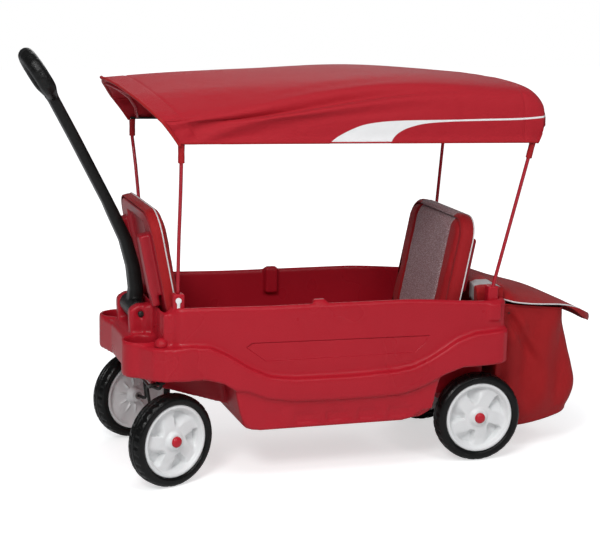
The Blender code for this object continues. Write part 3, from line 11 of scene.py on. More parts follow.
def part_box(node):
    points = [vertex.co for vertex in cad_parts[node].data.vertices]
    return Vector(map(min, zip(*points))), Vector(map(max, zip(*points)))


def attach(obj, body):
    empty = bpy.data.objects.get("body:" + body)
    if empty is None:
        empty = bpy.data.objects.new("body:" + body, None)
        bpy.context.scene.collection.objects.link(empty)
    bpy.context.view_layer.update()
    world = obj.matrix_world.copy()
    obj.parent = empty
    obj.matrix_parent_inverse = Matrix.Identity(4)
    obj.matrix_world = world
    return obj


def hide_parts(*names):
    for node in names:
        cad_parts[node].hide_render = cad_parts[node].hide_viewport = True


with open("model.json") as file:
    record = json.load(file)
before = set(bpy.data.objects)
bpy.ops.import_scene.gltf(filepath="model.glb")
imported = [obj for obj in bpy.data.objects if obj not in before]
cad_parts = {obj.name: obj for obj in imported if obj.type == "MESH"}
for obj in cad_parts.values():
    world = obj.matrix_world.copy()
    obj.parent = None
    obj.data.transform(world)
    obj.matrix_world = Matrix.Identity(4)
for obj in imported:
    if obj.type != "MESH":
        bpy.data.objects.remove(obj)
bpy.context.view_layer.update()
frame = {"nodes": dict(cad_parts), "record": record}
nodes = frame["nodes"]
record = frame["record"]
body_of_node = {node: body for body, held in record["behaviour"]["bodies"].items() for node in held}
joints = {joint["name"]: joint for joint in record["behaviour"]["joints"]}
rear_axle_x = joints["roll_rear_left"]["pos_m"][0]


def behind(distance):
    """A place that many metres in front of the rear axle."""
    return rear_axle_x - distance


# ---------------------------------------------------------------- node sketching

class Sketch:
    """Short hand for placing and joining nodes in one tree."""

    def __init__(self, tree):
        self.tree = tree

    def node(self, kind, **settings):
        made = self.tree.nodes.new(kind)
        for key, value in settings.items():
            setattr(made, key, value)
        return made

    def join(self, source, target):
        self.tree.links.new(source, target)

    def math(self, operation, first, second=None, third=None, clamp=False):
        made = self.node("ShaderNodeMath", operation=operation, use_clamp=clamp)
        for slot, value in enumerate((first, second, third)):
            if value is None:
                continue
            if isinstance(value, (int, float)):
                made.inputs[slot].default_value = value
            else:
                self.join(value, made.inputs[slot])
        return made.outputs[0]

    def noise(self, coords, scale, detail=2.0, roughness=0.5):
        made = self.node("ShaderNodeTexNoise")
        made.inputs["Scale"].default_value = scale
        made.inputs["Detail"].default_value = detail
        made.inputs["Roughness"].default_value = roughness
        self.join(coords, made.inputs["Vector"])
        return made.outputs["Fac"]

    def mix(self, factor, first, second):
        made = self.node("ShaderNodeMix", data_type="RGBA")
        for slot, value in ((0, factor), (6, first), (7, second)):
            if isinstance(value, (int, float)):
                made.inputs[slot].default_value = value
            elif isinstance(value, tuple):
                made.inputs[slot].default_value = (*value, 1)
            else:
                self.join(value, made.inputs[slot])
        return made.outputs[2]

    def steps(self, value, low, high, to_low=0.0, to_high=1.0):
        made = self.node("ShaderNodeMapRange", interpolation_type="SMOOTHSTEP")
        self.join(value, made.inputs["Value"])
        for name, number in (("From Min", low), ("From Max", high), ("To Min", to_low), ("To Max", to_high)):
            made.inputs[name].default_value = number
        return made.outputs["Result"]

    def shader(self, kind, colour, **settings):
        """A shader node with its colour and its named values."""
        made = self.node(kind)
        made.inputs[0].default_value = (*colour, 1)
        for label, value in settings.items():
            made.inputs[label.replace("_", " ")].default_value = value
        return made

    def finish_with(self, kind, factor, first, second):
        """Mixes two shaders by a factor into the tree's output."""
        mix = self.node("ShaderNodeMixShader")
        for slot, source in enumerate((factor, first.outputs[0], second.outputs[0])):
            self.join(source, mix.inputs[slot])
        self.join(mix.outputs[0], self.node(kind).inputs[0])


# ---------------------------------------------------------------- camera and studio

# the camera's turn, its focal length in pixels, and how it stands to the rear axle
YAW, PITCH, ROLL = radians(17.4349), radians(11.0836), radians(1.0480)
FOCAL_PIXELS, PHOTO_WIDTH, SENSOR_WIDTH = 1625.174, 600, 36.0
CAMERA_AHEAD, CAMERA_SIDE, CAMERA_HEIGHT = 1.506824, -3.566753, 1.172826


def place_camera():
    yaw, pitch, roll = YAW, PITCH, ROLL
    ahead = Vector((sin(yaw) * cos(pitch), cos(yaw) * cos(pitch), -sin(pitch)))
    right = Vector((cos(yaw), -sin(yaw), 0))
    up = right.cross(ahead)
    tilted_right = right * cos(roll) + up * sin(roll)
    tilted_up = up * cos(roll) - right * sin(roll)
    turn = Matrix((tilted_right, tilted_up, -ahead)).transposed().to_4x4()
    lens = bpy.data.cameras.new("photo_lens")
    lens.sensor_width = SENSOR_WIDTH
    lens.lens = FOCAL_PIXELS / PHOTO_WIDTH * SENSOR_WIDTH
    lens.clip_end = 60
    camera = bpy.data.objects.new("photo_camera", lens)
    bpy.context.collection.objects.link(camera)
    camera.matrix_world = Matrix.Translation((behind(CAMERA_AHEAD), CAMERA_SIDE, CAMERA_HEIGHT)) @ turn
    bpy.context.scene.camera = camera


def softbox(name, place, target, size, power):
    lamp = bpy.data.lights.new(name, "AREA")
    lamp.shape = "RECTANGLE"
    lamp.size, lamp.size_y = size
    lamp.energy = power
    holder = bpy.data.objects.new(name, lamp)
    bpy.context.collection.objects.link(holder)
    holder.location = place
    holder.rotation_euler = (Vector(target) - Vector(place)).to_track_quat("-Z", "Y").to_euler()


WORLD_LEVEL, GLOSS_DIMMING = 0.40, 0.30


def light_studio():
    """Four soft lamps, and a world that the camera sees white and gloss sees dimmer."""
    scene = bpy.context.scene
    scene.view_settings.view_transform = "Standard"
    scene.world = scene.world or bpy.data.worlds.new("studio")
    scene.world.use_nodes = True
    scene.world.node_tree.nodes.clear()
    s = Sketch(scene.world.node_tree)
    rays = s.node("ShaderNodeLightPath")
    soft = s.shader("ShaderNodeBackground", (0.95, 0.96, 1.0))
    level = s.math("MULTIPLY_ADD", rays.outputs["Is Glossy Ray"], -GLOSS_DIMMING, WORLD_LEVEL)
    s.join(level, soft.inputs["Strength"])
    white = s.shader("ShaderNodeBackground", (1, 1, 1), Strength=1.0)
    seen = s.math("MAXIMUM", rays.outputs["Is Camera Ray"], rays.outputs["Is Transmission Ray"])
    s.finish_with("ShaderNodeOutputWorld", seen, soft, white)
    softbox("key_above_camera", (-1.9, -3.0, 2.8), (0, 0, 0.35), (1.0, 1.0), 70)
    softbox("second_right_of_camera", (1.2, -3.4, 2.4), (0.1, 0, 0.35), (0.9, 0.9), 17)
    softbox("top_light", (-0.5, -1.5, 3.0), (0, 0, 0.6), (1.8, 1.0), 25)
    softbox("rim_from_behind", (0.8, 2.8, 2.2), (0, 0, 0.4), (1.8, 1.2), 14)


def lay_floor():
    """White paper that keeps the wagon's shadow and brightens away from it."""
    bpy.ops.object.select_all(action="DESELECT")
    bpy.ops.mesh.primitive_plane_add(size=24, location=(0, 0, 0))
    floor = bpy.context.object
    floor.name = "studio_floor"
    paper = bpy.data.materials.new("white_paper")
    paper.use_nodes = True
    paper.node_tree.nodes.clear()
    s = Sketch(paper.node_tree)
    shade = s.shader("ShaderNodeBsdfPrincipled", (0.74, 0.75, 0.75), Roughness=0.7, Specular_IOR_Level=0.1)
    place = s.node("ShaderNodeTexCoord")
    far = s.node("ShaderNodeVectorMath", operation="LENGTH")
    s.join(place.outputs["Object"], far.inputs[0])
    level = s.node("ShaderNodeMapRange")
    for label, value in (("From Min", 0.7), ("From Max", 1.7), ("To Min", 0.58), ("To Max", 0.86)):
        level.inputs[label].default_value = value
    s.join(far.outputs["Value"], level.inputs["Value"])
    glow = s.node("ShaderNodeEmission")
    s.join(level.outputs["Result"], glow.inputs["Strength"])
    both = s.node("ShaderNodeAddShader")
    s.join(shade.outputs[0], both.inputs[0])
    s.join(glow.outputs[0], both.inputs[1])
    rays = s.node("ShaderNodeLightPath")
    s.finish_with("ShaderNodeOutputMaterial", rays.outputs["Is Camera Ray"], shade, both)
    floor.data.materials.append(paper)


# ---------------------------------------------------------------- shader groups

def new_group(name, inputs, outputs):
    group = bpy.data.node_groups.new(name, "ShaderNodeTree")
    for label, kind, value in inputs:
        made = group.interface.new_socket(label, in_out="INPUT", socket_type=kind)
        if value is not None:
            made.default_value = value
    for label, kind in outputs:
        group.interface.new_socket(label, in_out="OUTPUT", socket_type=kind)
    sketch = Sketch(group)
    return group, sketch, sketch.node("NodeGroupInput"), sketch.node("NodeGroupOutput")


def build_moulded_grain():
    """Fine speckle and slow unevenness of moulded plastic."""
    group, s, start, end = new_group(
        "moulded_grain", [("Place", "NodeSocketVector", None), ("Grain", "NodeSocketFloat", 900.0)],
        [("Height", "NodeSocketFloat"), ("Speckle", "NodeSocketFloat"), ("Drift", "NodeSocketFloat")])
    fine = s.node("ShaderNodeTexNoise")
    fine.inputs["Detail"].default_value = 3.0
    s.join(start.outputs["Place"], fine.inputs["Vector"])
    s.join(start.outputs["Grain"], fine.inputs["Scale"])
    slow = s.noise(start.outputs["Place"], 7.0, 2.0)
    s.join(fine.outputs["Fac"], end.inputs["Height"])
    s.join(s.steps(fine.outputs["Fac"], 0.42, 0.62), end.inputs["Speckle"])
    s.join(s.steps(slow, 0.05, 0.95), end.inputs["Drift"])
    return group


def build_edge_wear():
    """Paler raised edges, rubbed in use."""
    group, s, start, end = new_group(
        "edge_wear", [("Place", "NodeSocketVector", None)], [("Rubbed", "NodeSocketFloat")])
    shape = s.node("ShaderNodeNewGeometry")
    raised = s.steps(shape.outputs["Pointiness"], 0.530, 0.64)
    patchy = s.steps(s.noise(start.outputs["Place"], 38.0, 4.0, 0.6), 0.42, 0.68)
    s.join(s.math("MULTIPLY", raised, patchy), end.inputs["Rubbed"])
    return group


def build_weave():
    """Plain weave over a piece's own cloth coordinates, in metres."""
    group, s, start, end = new_group(
        "plain_weave", [("Cloth", "NodeSocketVector", None), ("Thread", "NodeSocketFloat", 0.0008)],
        [("Height", "NodeSocketFloat"), ("Thread tone", "NodeSocketFloat")])
    split = s.node("ShaderNodeSeparateXYZ")
    s.join(start.outputs["Cloth"], split.inputs[0])
    turns = s.math("DIVIDE", pi, start.outputs["Thread"])
    across = s.math("SINE", s.math("MULTIPLY", split.outputs["X"], turns))
    along = s.math("SINE", s.math("MULTIPLY", split.outputs["Y"], turns))
    crossing = s.math("MULTIPLY", across, along)
    s.join(s.math("MULTIPLY_ADD", crossing, 0.5, 0.5), end.inputs["Height"])
    tone = s.noise(start.outputs["Cloth"], 260.0, 2.0)
    s.join(tone, end.inputs["Thread tone"])
    return group


grain_group = build_moulded_grain()
wear_group = build_edge_wear()
weave_group = build_weave()


def new_material(name, roughness, **settings):
    """A material with one Principled shader, and its object coordinates."""
    made = bpy.data.materials.new(name)
    made.use_nodes = True
    made.node_tree.nodes.clear()
    s = Sketch(made.node_tree)
    out = s.node("ShaderNodeOutputMaterial")
    shade = s.node("ShaderNodeBsdfPrincipled")
    shade.inputs["Roughness"].default_value = roughness
    for label, value in settings.items():
        shade.inputs[label.replace("_", " ")].default_value = value
    s.join(shade.outputs[0], out.inputs[0])
    place = s.node("ShaderNodeTexCoord")
    return made, s, shade, place


def add_bump(s, height, distance, under=None):
    bump = s.node("ShaderNodeBump")
    bump.inputs["Distance"].default_value = distance
    s.join(height, bump.inputs["Height"])
    if under is not None:
        s.join(under, bump.inputs["Normal"])
    return bump.outputs["Normal"]


def grain_in(s, place, grain):
    made = s.node("ShaderNodeGroup", node_tree=grain_group)
    made.inputs["Grain"].default_value = grain
    s.join(place, made.inputs["Place"])
    return made


def wear_in(s, place):
    made = s.node("ShaderNodeGroup", node_tree=wear_group)
    s.join(place, made.inputs["Place"])
    return made.outputs["Rubbed"]


def shared_tone(s, first, first_share, second, second_share):
    """Two masks added up, each with its own share."""
    return s.math("MULTIPLY_ADD", first, first_share, s.math("MULTIPLY", second, second_share))


def moulded_plastic(name, dark, light, rubbed, roughness, grain, depth, speckle=0.35, gloss=0.32,
                    drift=0.35, rubbing=0.5, dulling=0.08, recess=None):
    """Moulded plastic: two close tones, fine speckle, rubbed edges and a grained gloss."""
    made, s, shade, coords = new_material(name, roughness)
    place = coords.outputs["Object"]
    shade.inputs["Specular IOR Level"].default_value = gloss
    fine = grain_in(s, place, grain)
    tone = shared_tone(s, fine.outputs["Speckle"], speckle, fine.outputs["Drift"], drift)
    colour = s.mix(tone, dark, light)
    worn = wear_in(s, place)
    s.join(s.mix(s.math("MULTIPLY", worn, rubbing), colour, rubbed), shade.inputs["Base Color"])
    uneven = s.math("MULTIPLY_ADD", fine.outputs["Drift"], 0.10, roughness - 0.05)
    s.join(s.math("MULTIPLY_ADD", worn, dulling, uneven), shade.inputs["Roughness"])
    relief = add_bump(s, fine.outputs["Height"], depth)
    if recess is not None:
        relief = add_bump(s, s.math("MULTIPLY", recess(s, place), -1.0), RECESS_DEPTH, relief)
    s.join(relief, shade.inputs["Normal"])
    return made


RECESS_DEPTH = 0.0022


def panel_lines(s, place):
    """The long six-sided recess on both sides of the tub, as a height from 0 to 1."""
    corners = [(-0.573, 0.310), (-0.560, 0.319), (-0.141, 0.314), (-0.150, 0.297), (-0.174, 0.277),
               (-0.529, 0.277)]
    split = s.node("ShaderNodeSeparateXYZ")
    s.join(place, split.inputs[0])
    deepest = None
    for (x0, z0), (x1, z1) in zip(corners, corners[1:] + corners[:1]):
        length = hypot(x1 - x0, z1 - z0)
        nx, nz = -(z1 - z0) / length, (x1 - x0) / length
        offset = -(nx * (x0 + rear_axle_x) + nz * z0)
        across = s.math("MULTIPLY_ADD", split.outputs["X"], nx, offset)
        here = s.math("MULTIPLY_ADD", split.outputs["Z"], nz, across)
        deepest = here if deepest is None else s.math("MAXIMUM", deepest, here)
    side = s.math("ABSOLUTE", split.outputs["Y"])
    outside = s.math("GREATER_THAN", side, 0.2075)
    return s.math("MULTIPLY", s.steps(deepest, -0.0012, 0.0012, 1.0, 0.0), outside)


def cloth_material(name, dark, light, thread, depth, roughness, marks=None, sheen=0.05):
    """Woven cloth on a piece's own coordinates, with soft creases and an optional second colour."""
    made, s, shade, coords = new_material(name, roughness)
    shade.inputs["Sheen Weight"].default_value = sheen
    shade.inputs["Specular IOR Level"].default_value = 0.22
    shade.inputs["Sheen Roughness"].default_value = 0.45
    uv = s.node("ShaderNodeUVMap", uv_map="cloth")
    weave = s.node("ShaderNodeGroup", node_tree=weave_group)
    weave.inputs["Thread"].default_value = thread
    s.join(uv.outputs[0], weave.inputs["Cloth"])
    tone = shared_tone(s, weave.outputs["Height"], 0.45, weave.outputs["Thread tone"], 0.55)
    colour = s.mix(tone, dark, light)
    if marks is not None:
        colour = marks(s, coords, colour)
    s.join(colour, shade.inputs["Base Color"])
    creases = s.noise(coords.outputs["Object"], 34.0, 3.0, 0.55)
    soft = add_bump(s, creases, 0.0022)
    s.join(add_bump(s, weave.outputs["Height"], depth, soft), shade.inputs["Normal"])
    rough = s.math("MULTIPLY_ADD", weave.outputs["Thread tone"], 0.16, roughness - 0.08)
    s.join(rough, shade.inputs["Roughness"])
    return made


def curve_of(s, value, points, low, high, top):
    """A drawn line: value from low to high gives a height, from 0 to top."""
    ramp = s.node("ShaderNodeMapRange")
    s.join(value, ramp.inputs["Value"])
    ramp.inputs["From Min"].default_value = low
    ramp.inputs["From Max"].default_value = high
    drawn = s.node("ShaderNodeFloatCurve")
    line = drawn.mapping.curves[0]
    places = [((x - low) / (high - low), z / top) for x, z in points]
    line.points[0].location = places[0]
    line.points[1].location = places[-1]
    for x, z in places[1:-1]:
        line.points.new(x, z)
    for point in line.points:
        point.handle_type = "AUTO_CLAMPED"
    drawn.mapping.update()
    s.join(ramp.outputs["Result"], drawn.inputs["Value"])
    return s.math("MULTIPLY", drawn.outputs[0], top)


def canopy_marks(s, coords, colour):
    """The curved white panel low on both sides of the roof, and its thin tail."""
    split = s.node("ShaderNodeSeparateXYZ")
    s.join(coords.outputs["Object"], split.inputs[0])
    x, y, z = split.outputs
    shift = rear_axle_x
    base = 0.740
    upper = [(-0.4260, 0.742), (-0.4099, 0.7645), (-0.3955, 0.7761), (-0.3731, 0.7884), (-0.3528, 0.7970),
             (-0.3302, 0.8042), (-0.2959, 0.8093), (-0.2545, 0.8118), (-0.2034, 0.8124), (-0.1330, 0.8124),
             (-0.0378, 0.8133), (0.0346, 0.8140), (0.0710, 0.8159), (0.1100, 0.8190)]
    lower = [(-0.4260, 0.741), (-0.2760, 0.741), (-0.2692, 0.7620), (-0.2604, 0.7771), (-0.2388, 0.7920),
             (-0.2169, 0.7993), (-0.1891, 0.8048), (-0.1328, 0.8082), (-0.0378, 0.8093), (0.0346, 0.8100),
             (0.0710, 0.8119), (0.1100, 0.8150)]
    low, high, top = shift - 0.4260, shift + 0.1100, 0.1
    high_line = curve_of(s, x, [(px + shift, pz - base) for px, pz in upper], low, high, top)
    low_line = curve_of(s, x, [(px + shift, pz - base) for px, pz in lower], low, high, top)
    height = s.math("SUBTRACT", z, base)
    below = s.steps(s.math("SUBTRACT", high_line, height), -0.0006, 0.0006)
    above = s.steps(s.math("SUBTRACT", height, low_line), -0.0006, 0.0006)
    after = s.steps(x, low, low + 0.004)
    side = s.math("GREATER_THAN", s.math("ABSOLUTE", y), 0.20)
    mask = s.math("MULTIPLY", s.math("MULTIPLY", below, above), s.math("MULTIPLY", after, side))
    return s.mix(mask, colour, (0.78, 0.78, 0.78))


def seat_mesh_with_painted_light(s, coords, colour):
    """Grey mesh down the middle of a seat cover, both of its tones lightened as painted light, since the mesh
    faces away from the lamps.
    """
    split = s.node("ShaderNodeSeparateXYZ")
    s.join(coords.outputs["Object"], split.inputs[0])
    side = s.math("ABSOLUTE", split.outputs["Y"])
    cells = s.node("ShaderNodeTexVoronoi")
    cells.inputs["Scale"].default_value = 420.0
    s.join(coords.outputs["Object"], cells.inputs["Vector"])
    holes = s.steps(cells.outputs["Distance"], 0.15, 0.55)
    # painted light: both tones of the grey mesh are set lighter to stand in for light, as the mesh faces away
    # from the lamps
    mesh = s.mix(holes, (0.62, 0.50, 0.51), (0.27, 0.165, 0.175))
    return s.mix(s.steps(side, 0.1035, 0.1050), mesh, colour)


def cover_marks(s, coords, colour):
    """A grey reflective band along both sides of the bag's cover."""
    split = s.node("ShaderNodeSeparateXYZ")
    s.join(coords.outputs["Object"], split.inputs[0])
    side = s.math("ABSOLUTE", split.outputs["Y"])
    band = s.math("MULTIPLY", s.steps(side, 0.1175, 0.1185), s.steps(side, 0.1445, 0.1455, 1.0, 0.0))
    return s.mix(band, colour, (0.42, 0.41, 0.41))


def make_materials():
    m = {}
    m["red_plastic"] = moulded_plastic("red_moulded_plastic", (0.365, 0.0075, 0.0165),
                                       (0.490, 0.0150, 0.0300), (0.56, 0.045, 0.075), 0.29, 760, 0.00035,
                                       0.45, 0.25, 0.30, 0.35, 0.06, panel_lines)
    m["red_small"] = moulded_plastic("red_small_moulding", (0.31, 0.0065, 0.015), (0.41, 0.012, 0.025),
                                     (0.52, 0.04, 0.06), 0.30, 900, 0.0002)
    m["cap_red"] = moulded_plastic("red_cap_plastic", (0.46, 0.012, 0.024), (0.54, 0.020, 0.034),
                                   (0.62, 0.06, 0.08), 0.24, 1100, 0.0001)
    m["white_plastic"] = moulded_plastic("white_moulded_plastic", (0.74, 0.75, 0.75), (0.82, 0.83, 0.83),
                                         (0.88, 0.88, 0.88), 0.30, 700, 0.00012, 0.25)
    m["black_plastic"] = moulded_plastic("black_blown_plastic", (0.0035, 0.0035, 0.0035),
                                         (0.012, 0.012, 0.0115),
                                         (0.03, 0.03, 0.03), 0.30, 620, 0.0006, 0.6, 0.26)
    m["rubber"] = moulded_plastic("tyre_plastic", (0.003, 0.003, 0.003), (0.008, 0.008, 0.008),
                                  (0.020, 0.020, 0.020), 0.28, 480, 0.0003, 0.4, 0.24)
    m["red_paint"] = moulded_plastic("red_powder_coat", (0.36, 0.009, 0.020), (0.43, 0.014, 0.027),
                                     (0.5, 0.04, 0.06), 0.28, 1500, 0.00005, 0.3)
    m["black_steel"] = moulded_plastic("black_coated_steel", (0.012, 0.011, 0.010), (0.024, 0.022, 0.020),
                                       (0.09, 0.085, 0.08), 0.38, 1300, 0.00006, 0.4)
    zinc, s, shade, coords = new_material("zinc_plated_steel", 0.30, Metallic=1.0)
    fine = grain_in(s, coords.outputs["Object"], 900.0)
    s.join(s.mix(fine.outputs["Drift"], (0.42, 0.42, 0.43), (0.56, 0.55, 0.53)), shade.inputs["Base Color"])
    s.join(s.math("MULTIPLY_ADD", fine.outputs["Speckle"], 0.10, 0.26), shade.inputs["Roughness"])
    m["zinc"] = zinc
    bag_dark, bag_light = (0.310, 0.0055, 0.0075), (0.390, 0.0085, 0.0115)
    m["canopy"] = cloth_material("red_canopy_cloth", (0.340, 0.0065, 0.0145), (0.430, 0.0100, 0.0210),
                                 0.0007, 0.00022, 0.58, canopy_marks, 0.04)
    m["bag"] = cloth_material("red_bag_cloth", bag_dark, bag_light, 0.0009, 0.0003, 0.56)
    m["seat"] = cloth_material("red_seat_cloth", (0.300, 0.0055, 0.0085), (0.370, 0.0085, 0.0130),
                               0.0009, 0.0003, 0.60, seat_mesh_with_painted_light)
    m["cover"] = cloth_material("red_cover_cloth", bag_dark, bag_light, 0.0009, 0.0003, 0.58, cover_marks)
    m["piping"] = moulded_plastic("white_piping", (0.60, 0.58, 0.58), (0.74, 0.73, 0.73),
                                  (0.8, 0.8, 0.8), 0.45, 1600, 0.0002)
    return m


# ---------------------------------------------------------------- modelling helpers

def pick_nothing():
    if bpy.context.object and bpy.context.object.mode != "OBJECT":
        bpy.ops.object.mode_set(mode="OBJECT")
    bpy.ops.object.select_all(action="DESELECT")


def make_active(piece):
    pick_nothing()
    piece.select_set(True)
    bpy.context.view_layer.objects.active = piece
    return piece


def new_piece(name, mesh, material):
    piece = bpy.data.objects.new(name, mesh)
    bpy.context.collection.objects.link(piece)
    piece.data.materials.clear()
    piece.data.materials.append(material)
    return piece


def apply_all(piece):
    make_active(piece)
    for modifier in list(piece.modifiers):
        bpy.ops.object.modifier_apply(modifier=modifier.name)
    return piece


def in_edit(piece, merge=None, outward=False, thin=None):
    """Merges, turns outward or thins out the whole mesh in edit mode."""
    make_active(piece)
    bpy.ops.object.mode_set(mode="EDIT")
    bpy.ops.mesh.select_all(action="SELECT")
    if merge is not None:
        bpy.ops.mesh.remove_doubles(threshold=merge)
    if outward:
        bpy.ops.mesh.normals_make_consistent(inside=False)
    if thin is not None:
        bpy.ops.mesh.dissolve_limited(angle_limit=radians(thin))
    bpy.ops.object.mode_set(mode="OBJECT")
    return piece


def thicken(piece, thickness, offset=-1):
    """Gives a sheet its wall: offset -1 keeps the outer face in its place, 0 the middle."""
    skin = piece.modifiers.new("thickness", "SOLIDIFY")
    skin.thickness = thickness
    skin.offset = offset
    return apply_all(piece)


def round_edges(piece, width, segments, above=None):
    """Bevels the edges, or only those that turn by more than an angle."""
    edge = piece.modifiers.new("edge", "BEVEL")
    edge.width = width
    edge.segments = segments
    if above is not None:
        edge.limit_method = "ANGLE"
        edge.angle_limit = radians(above)
    return apply_all(piece)


def smooth_shade(piece):
    make_active(piece)
    bpy.ops.object.shade_smooth()


def cloth_layer(piece):
    return piece.data.uv_layers.get("cloth") or piece.data.uv_layers.new(name="cloth")


def smooth_by(piece, degrees):
    make_active(piece)
    bpy.ops.object.shade_smooth_by_angle(angle=radians(degrees))
    return piece


def settle(piece, body, *replaced, slot=None):
    """Rides the piece on its body, and hides what it stands for."""
    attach(piece, body)
    if replaced:
        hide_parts(*replaced)
    return piece


def turned_piece(name, profile, steps, material):
    """Turns a profile of (radius, height) round the local Z axis with the spin operator."""
    pick_nothing()
    bpy.ops.mesh.primitive_plane_add(size=0.01, location=(0, 0, 0))
    piece = bpy.context.object
    piece.name = name
    bpy.ops.object.mode_set(mode="EDIT")
    bpy.ops.mesh.select_all(action="SELECT")
    bpy.ops.mesh.merge(type="CENTER")
    radius, height = profile[0]
    bpy.ops.transform.translate(value=(radius, 0, height))
    for (r0, z0), (r1, z1) in zip(profile, profile[1:]):
        bpy.ops.mesh.extrude_vertices_move(TRANSFORM_OT_translate={"value": (r1 - r0, 0, z1 - z0)})
    bpy.ops.mesh.select_all(action="SELECT")
    bpy.ops.mesh.spin(steps=steps, angle=2 * pi, center=(0, 0, 0), axis=(0, 0, 1))
    bpy.ops.mesh.select_all(action="SELECT")
    bpy.ops.mesh.remove_doubles(threshold=0.00001)
    bpy.ops.mesh.normals_make_consistent(inside=False)
    bpy.ops.object.mode_set(mode="OBJECT")
    piece.data.materials.clear()
    piece.data.materials.append(material)
    return piece


def put(piece, place):
    """Moves a finished mesh to its place; its object stays at the origin."""
    piece.data.transform(place)
    piece.data.update()
    return piece


def grid_piece(name, rows, material, wrap=False, cap=False):
    """A sheet through rows of points, with cloth coordinates in metres on it."""
    shape = bmesh.new()
    made = [[shape.verts.new(point) for point in row] for row in rows]
    layer = shape.loops.layers.uv.new("cloth")
    count = len(rows[0])
    lengths = [0.0]
    for first, second in zip(rows, rows[1:]):
        middle = count // 2
        lengths.append(lengths[-1] + (Vector(second[middle]) - Vector(first[middle])).length)
    widths = []
    for row in rows:
        run = [0.0]
        closed = list(row) + ([row[0]] if wrap else [])
        for a, b in zip(closed, closed[1:]):
            run.append(run[-1] + (Vector(b) - Vector(a)).length)
        half = run[-1] / 2
        widths.append([r - half for r in run])
    for i in range(len(rows) - 1):
        for j in range(count if wrap else count - 1):
            k = (j + 1) % count
            face = shape.faces.new((made[i][j], made[i][k], made[i + 1][k], made[i + 1][j]))
            marks = ((i, j), (i, j + 1), (i + 1, j + 1), (i + 1, j))
            for loop, (r, c) in zip(face.loops, marks):
                loop[layer].uv = (widths[r][c], lengths[r])
    if cap:
        for row, turn in ((made[0], -1), (made[-1], 1)):
            shape.faces.new(row[::turn])
    for face in shape.faces:
        face.smooth = True
    mesh = bpy.data.meshes.new(name)
    shape.to_mesh(mesh)
    shape.free()
    return new_piece(name, mesh, material)


def tube_piece(name, points, radius, material, sides=8, closed=False):
    """A smooth cord, rod or piping along points."""
    pick_nothing()
    curve = bpy.data.curves.new(name, "CURVE")
    curve.dimensions = "3D"
    curve.bevel_depth = radius
    curve.bevel_resolution = max(1, sides // 4)
    curve.use_fill_caps = True
    line = curve.splines.new("POLY")
    line.points.add(len(points) - 1)
    for slot, point in zip(line.points, points):
        slot.co = (*point, 1)
    line.use_cyclic_u = closed
    holder = bpy.data.objects.new(name, curve)
    bpy.context.collection.objects.link(holder)
    holder.data.materials.append(material)
    make_active(holder)
    bpy.ops.object.convert(target="MESH")
    piece = bpy.context.object
    bpy.ops.object.shade_smooth()
    return piece


def node_copy(name, node, material):
    """A merged copy of a CAD node's mesh."""
    mesh = nodes[node].data.copy()
    piece = in_edit(new_piece(name, mesh, material), merge=0.00001)
    for face in piece.data.polygons:
        face.material_index = 0
    return piece


def polished_copy(node, material, degrees, bevel=0.0):
    """Stands for a rigid CAD node with the same form, softer edges and smooth round faces."""
    piece = node_copy(node + "_finish", node, material)
    if bevel:
        round_edges(in_edit(piece, thin=2), bevel, 2, above=35)
    smooth_by(piece, degrees)
    return settle(piece, body_of_node[node], node)


def softened_copy(node, material, voxel, rounds, add=(), keep=1.0, square=None):
    """Stands for a moulded CAD node, with every edge rounded as a mould leaves it."""
    piece = node_copy(node + "_moulding", node, material)
    for part in add:
        make_active(piece)
        part.select_set(True)
        bpy.ops.object.join()
    if square is not None:
        put(piece, square.inverted())
    remesh = piece.modifiers.new("skin", "REMESH")
    remesh.mode = "VOXEL"
    remesh.voxel_size = voxel
    remesh.use_smooth_shade = True
    soft = piece.modifiers.new("soft", "SMOOTH")
    soft.factor = 0.5
    soft.iterations = rounds
    if keep < 1:
        fewer = piece.modifiers.new("fewer", "DECIMATE")
        fewer.ratio = keep
    apply_all(piece)
    if square is not None:
        put(piece, square)
    for face in piece.data.polygons:
        face.use_smooth = True
        face.material_index = 0
    piece.data.materials.clear()
    piece.data.materials.append(material)
    return settle(piece, body_of_node[node], node)


def slab(name, low, high, bevel=0.0, place=None):
    """A block between two corners, its edges rounded."""
    pick_nothing()
    middle = [(a + b) / 2 for a, b in zip(low, high)]
    bpy.ops.mesh.primitive_cube_add(size=1, location=middle)
    piece = bpy.context.object
    piece.name = name
    piece.scale = [b - a for a, b in zip(low, high)]
    bpy.ops.object.transform_apply(location=True, rotation=True, scale=True)
    if bevel:
        round_edges(piece, bevel, 4)
    if place is not None:
        put(piece, place)
    return piece


def along_table(values, place, odd=False):
    """A smooth curve through evenly spaced values; mirrored before the first one."""
    slot = min(int(place), len(values) - 2)
    f = place - slot
    p1, p2 = values[slot], values[slot + 1]
    p0 = values[slot - 1] if slot else (-values[1] if odd else values[1])
    p3 = values[slot + 2] if slot + 2 < len(values) else 2 * p2 - p1
    return 0.5 * (2 * p1 + (p2 - p0) * f + (2 * p0 - 5 * p1 + 4 * p2 - p3) * f ** 2
                  + (3 * p1 - p0 - 3 * p2 + p3) * f ** 3)


def smooth_step(value, low, high):
    t = min(1.0, max(0.0, (value - low) / (high - low)))
    return t * t * (3 - 2 * t)


# ---------------------------------------------------------------- tub

# the row of shallow pockets along both feet of the tub
POCKETS_FROM, POCKETS_TO, POCKET_PITCH, POCKET_DEPTH = 0.470, 0.170, 0.0750, 0.0016


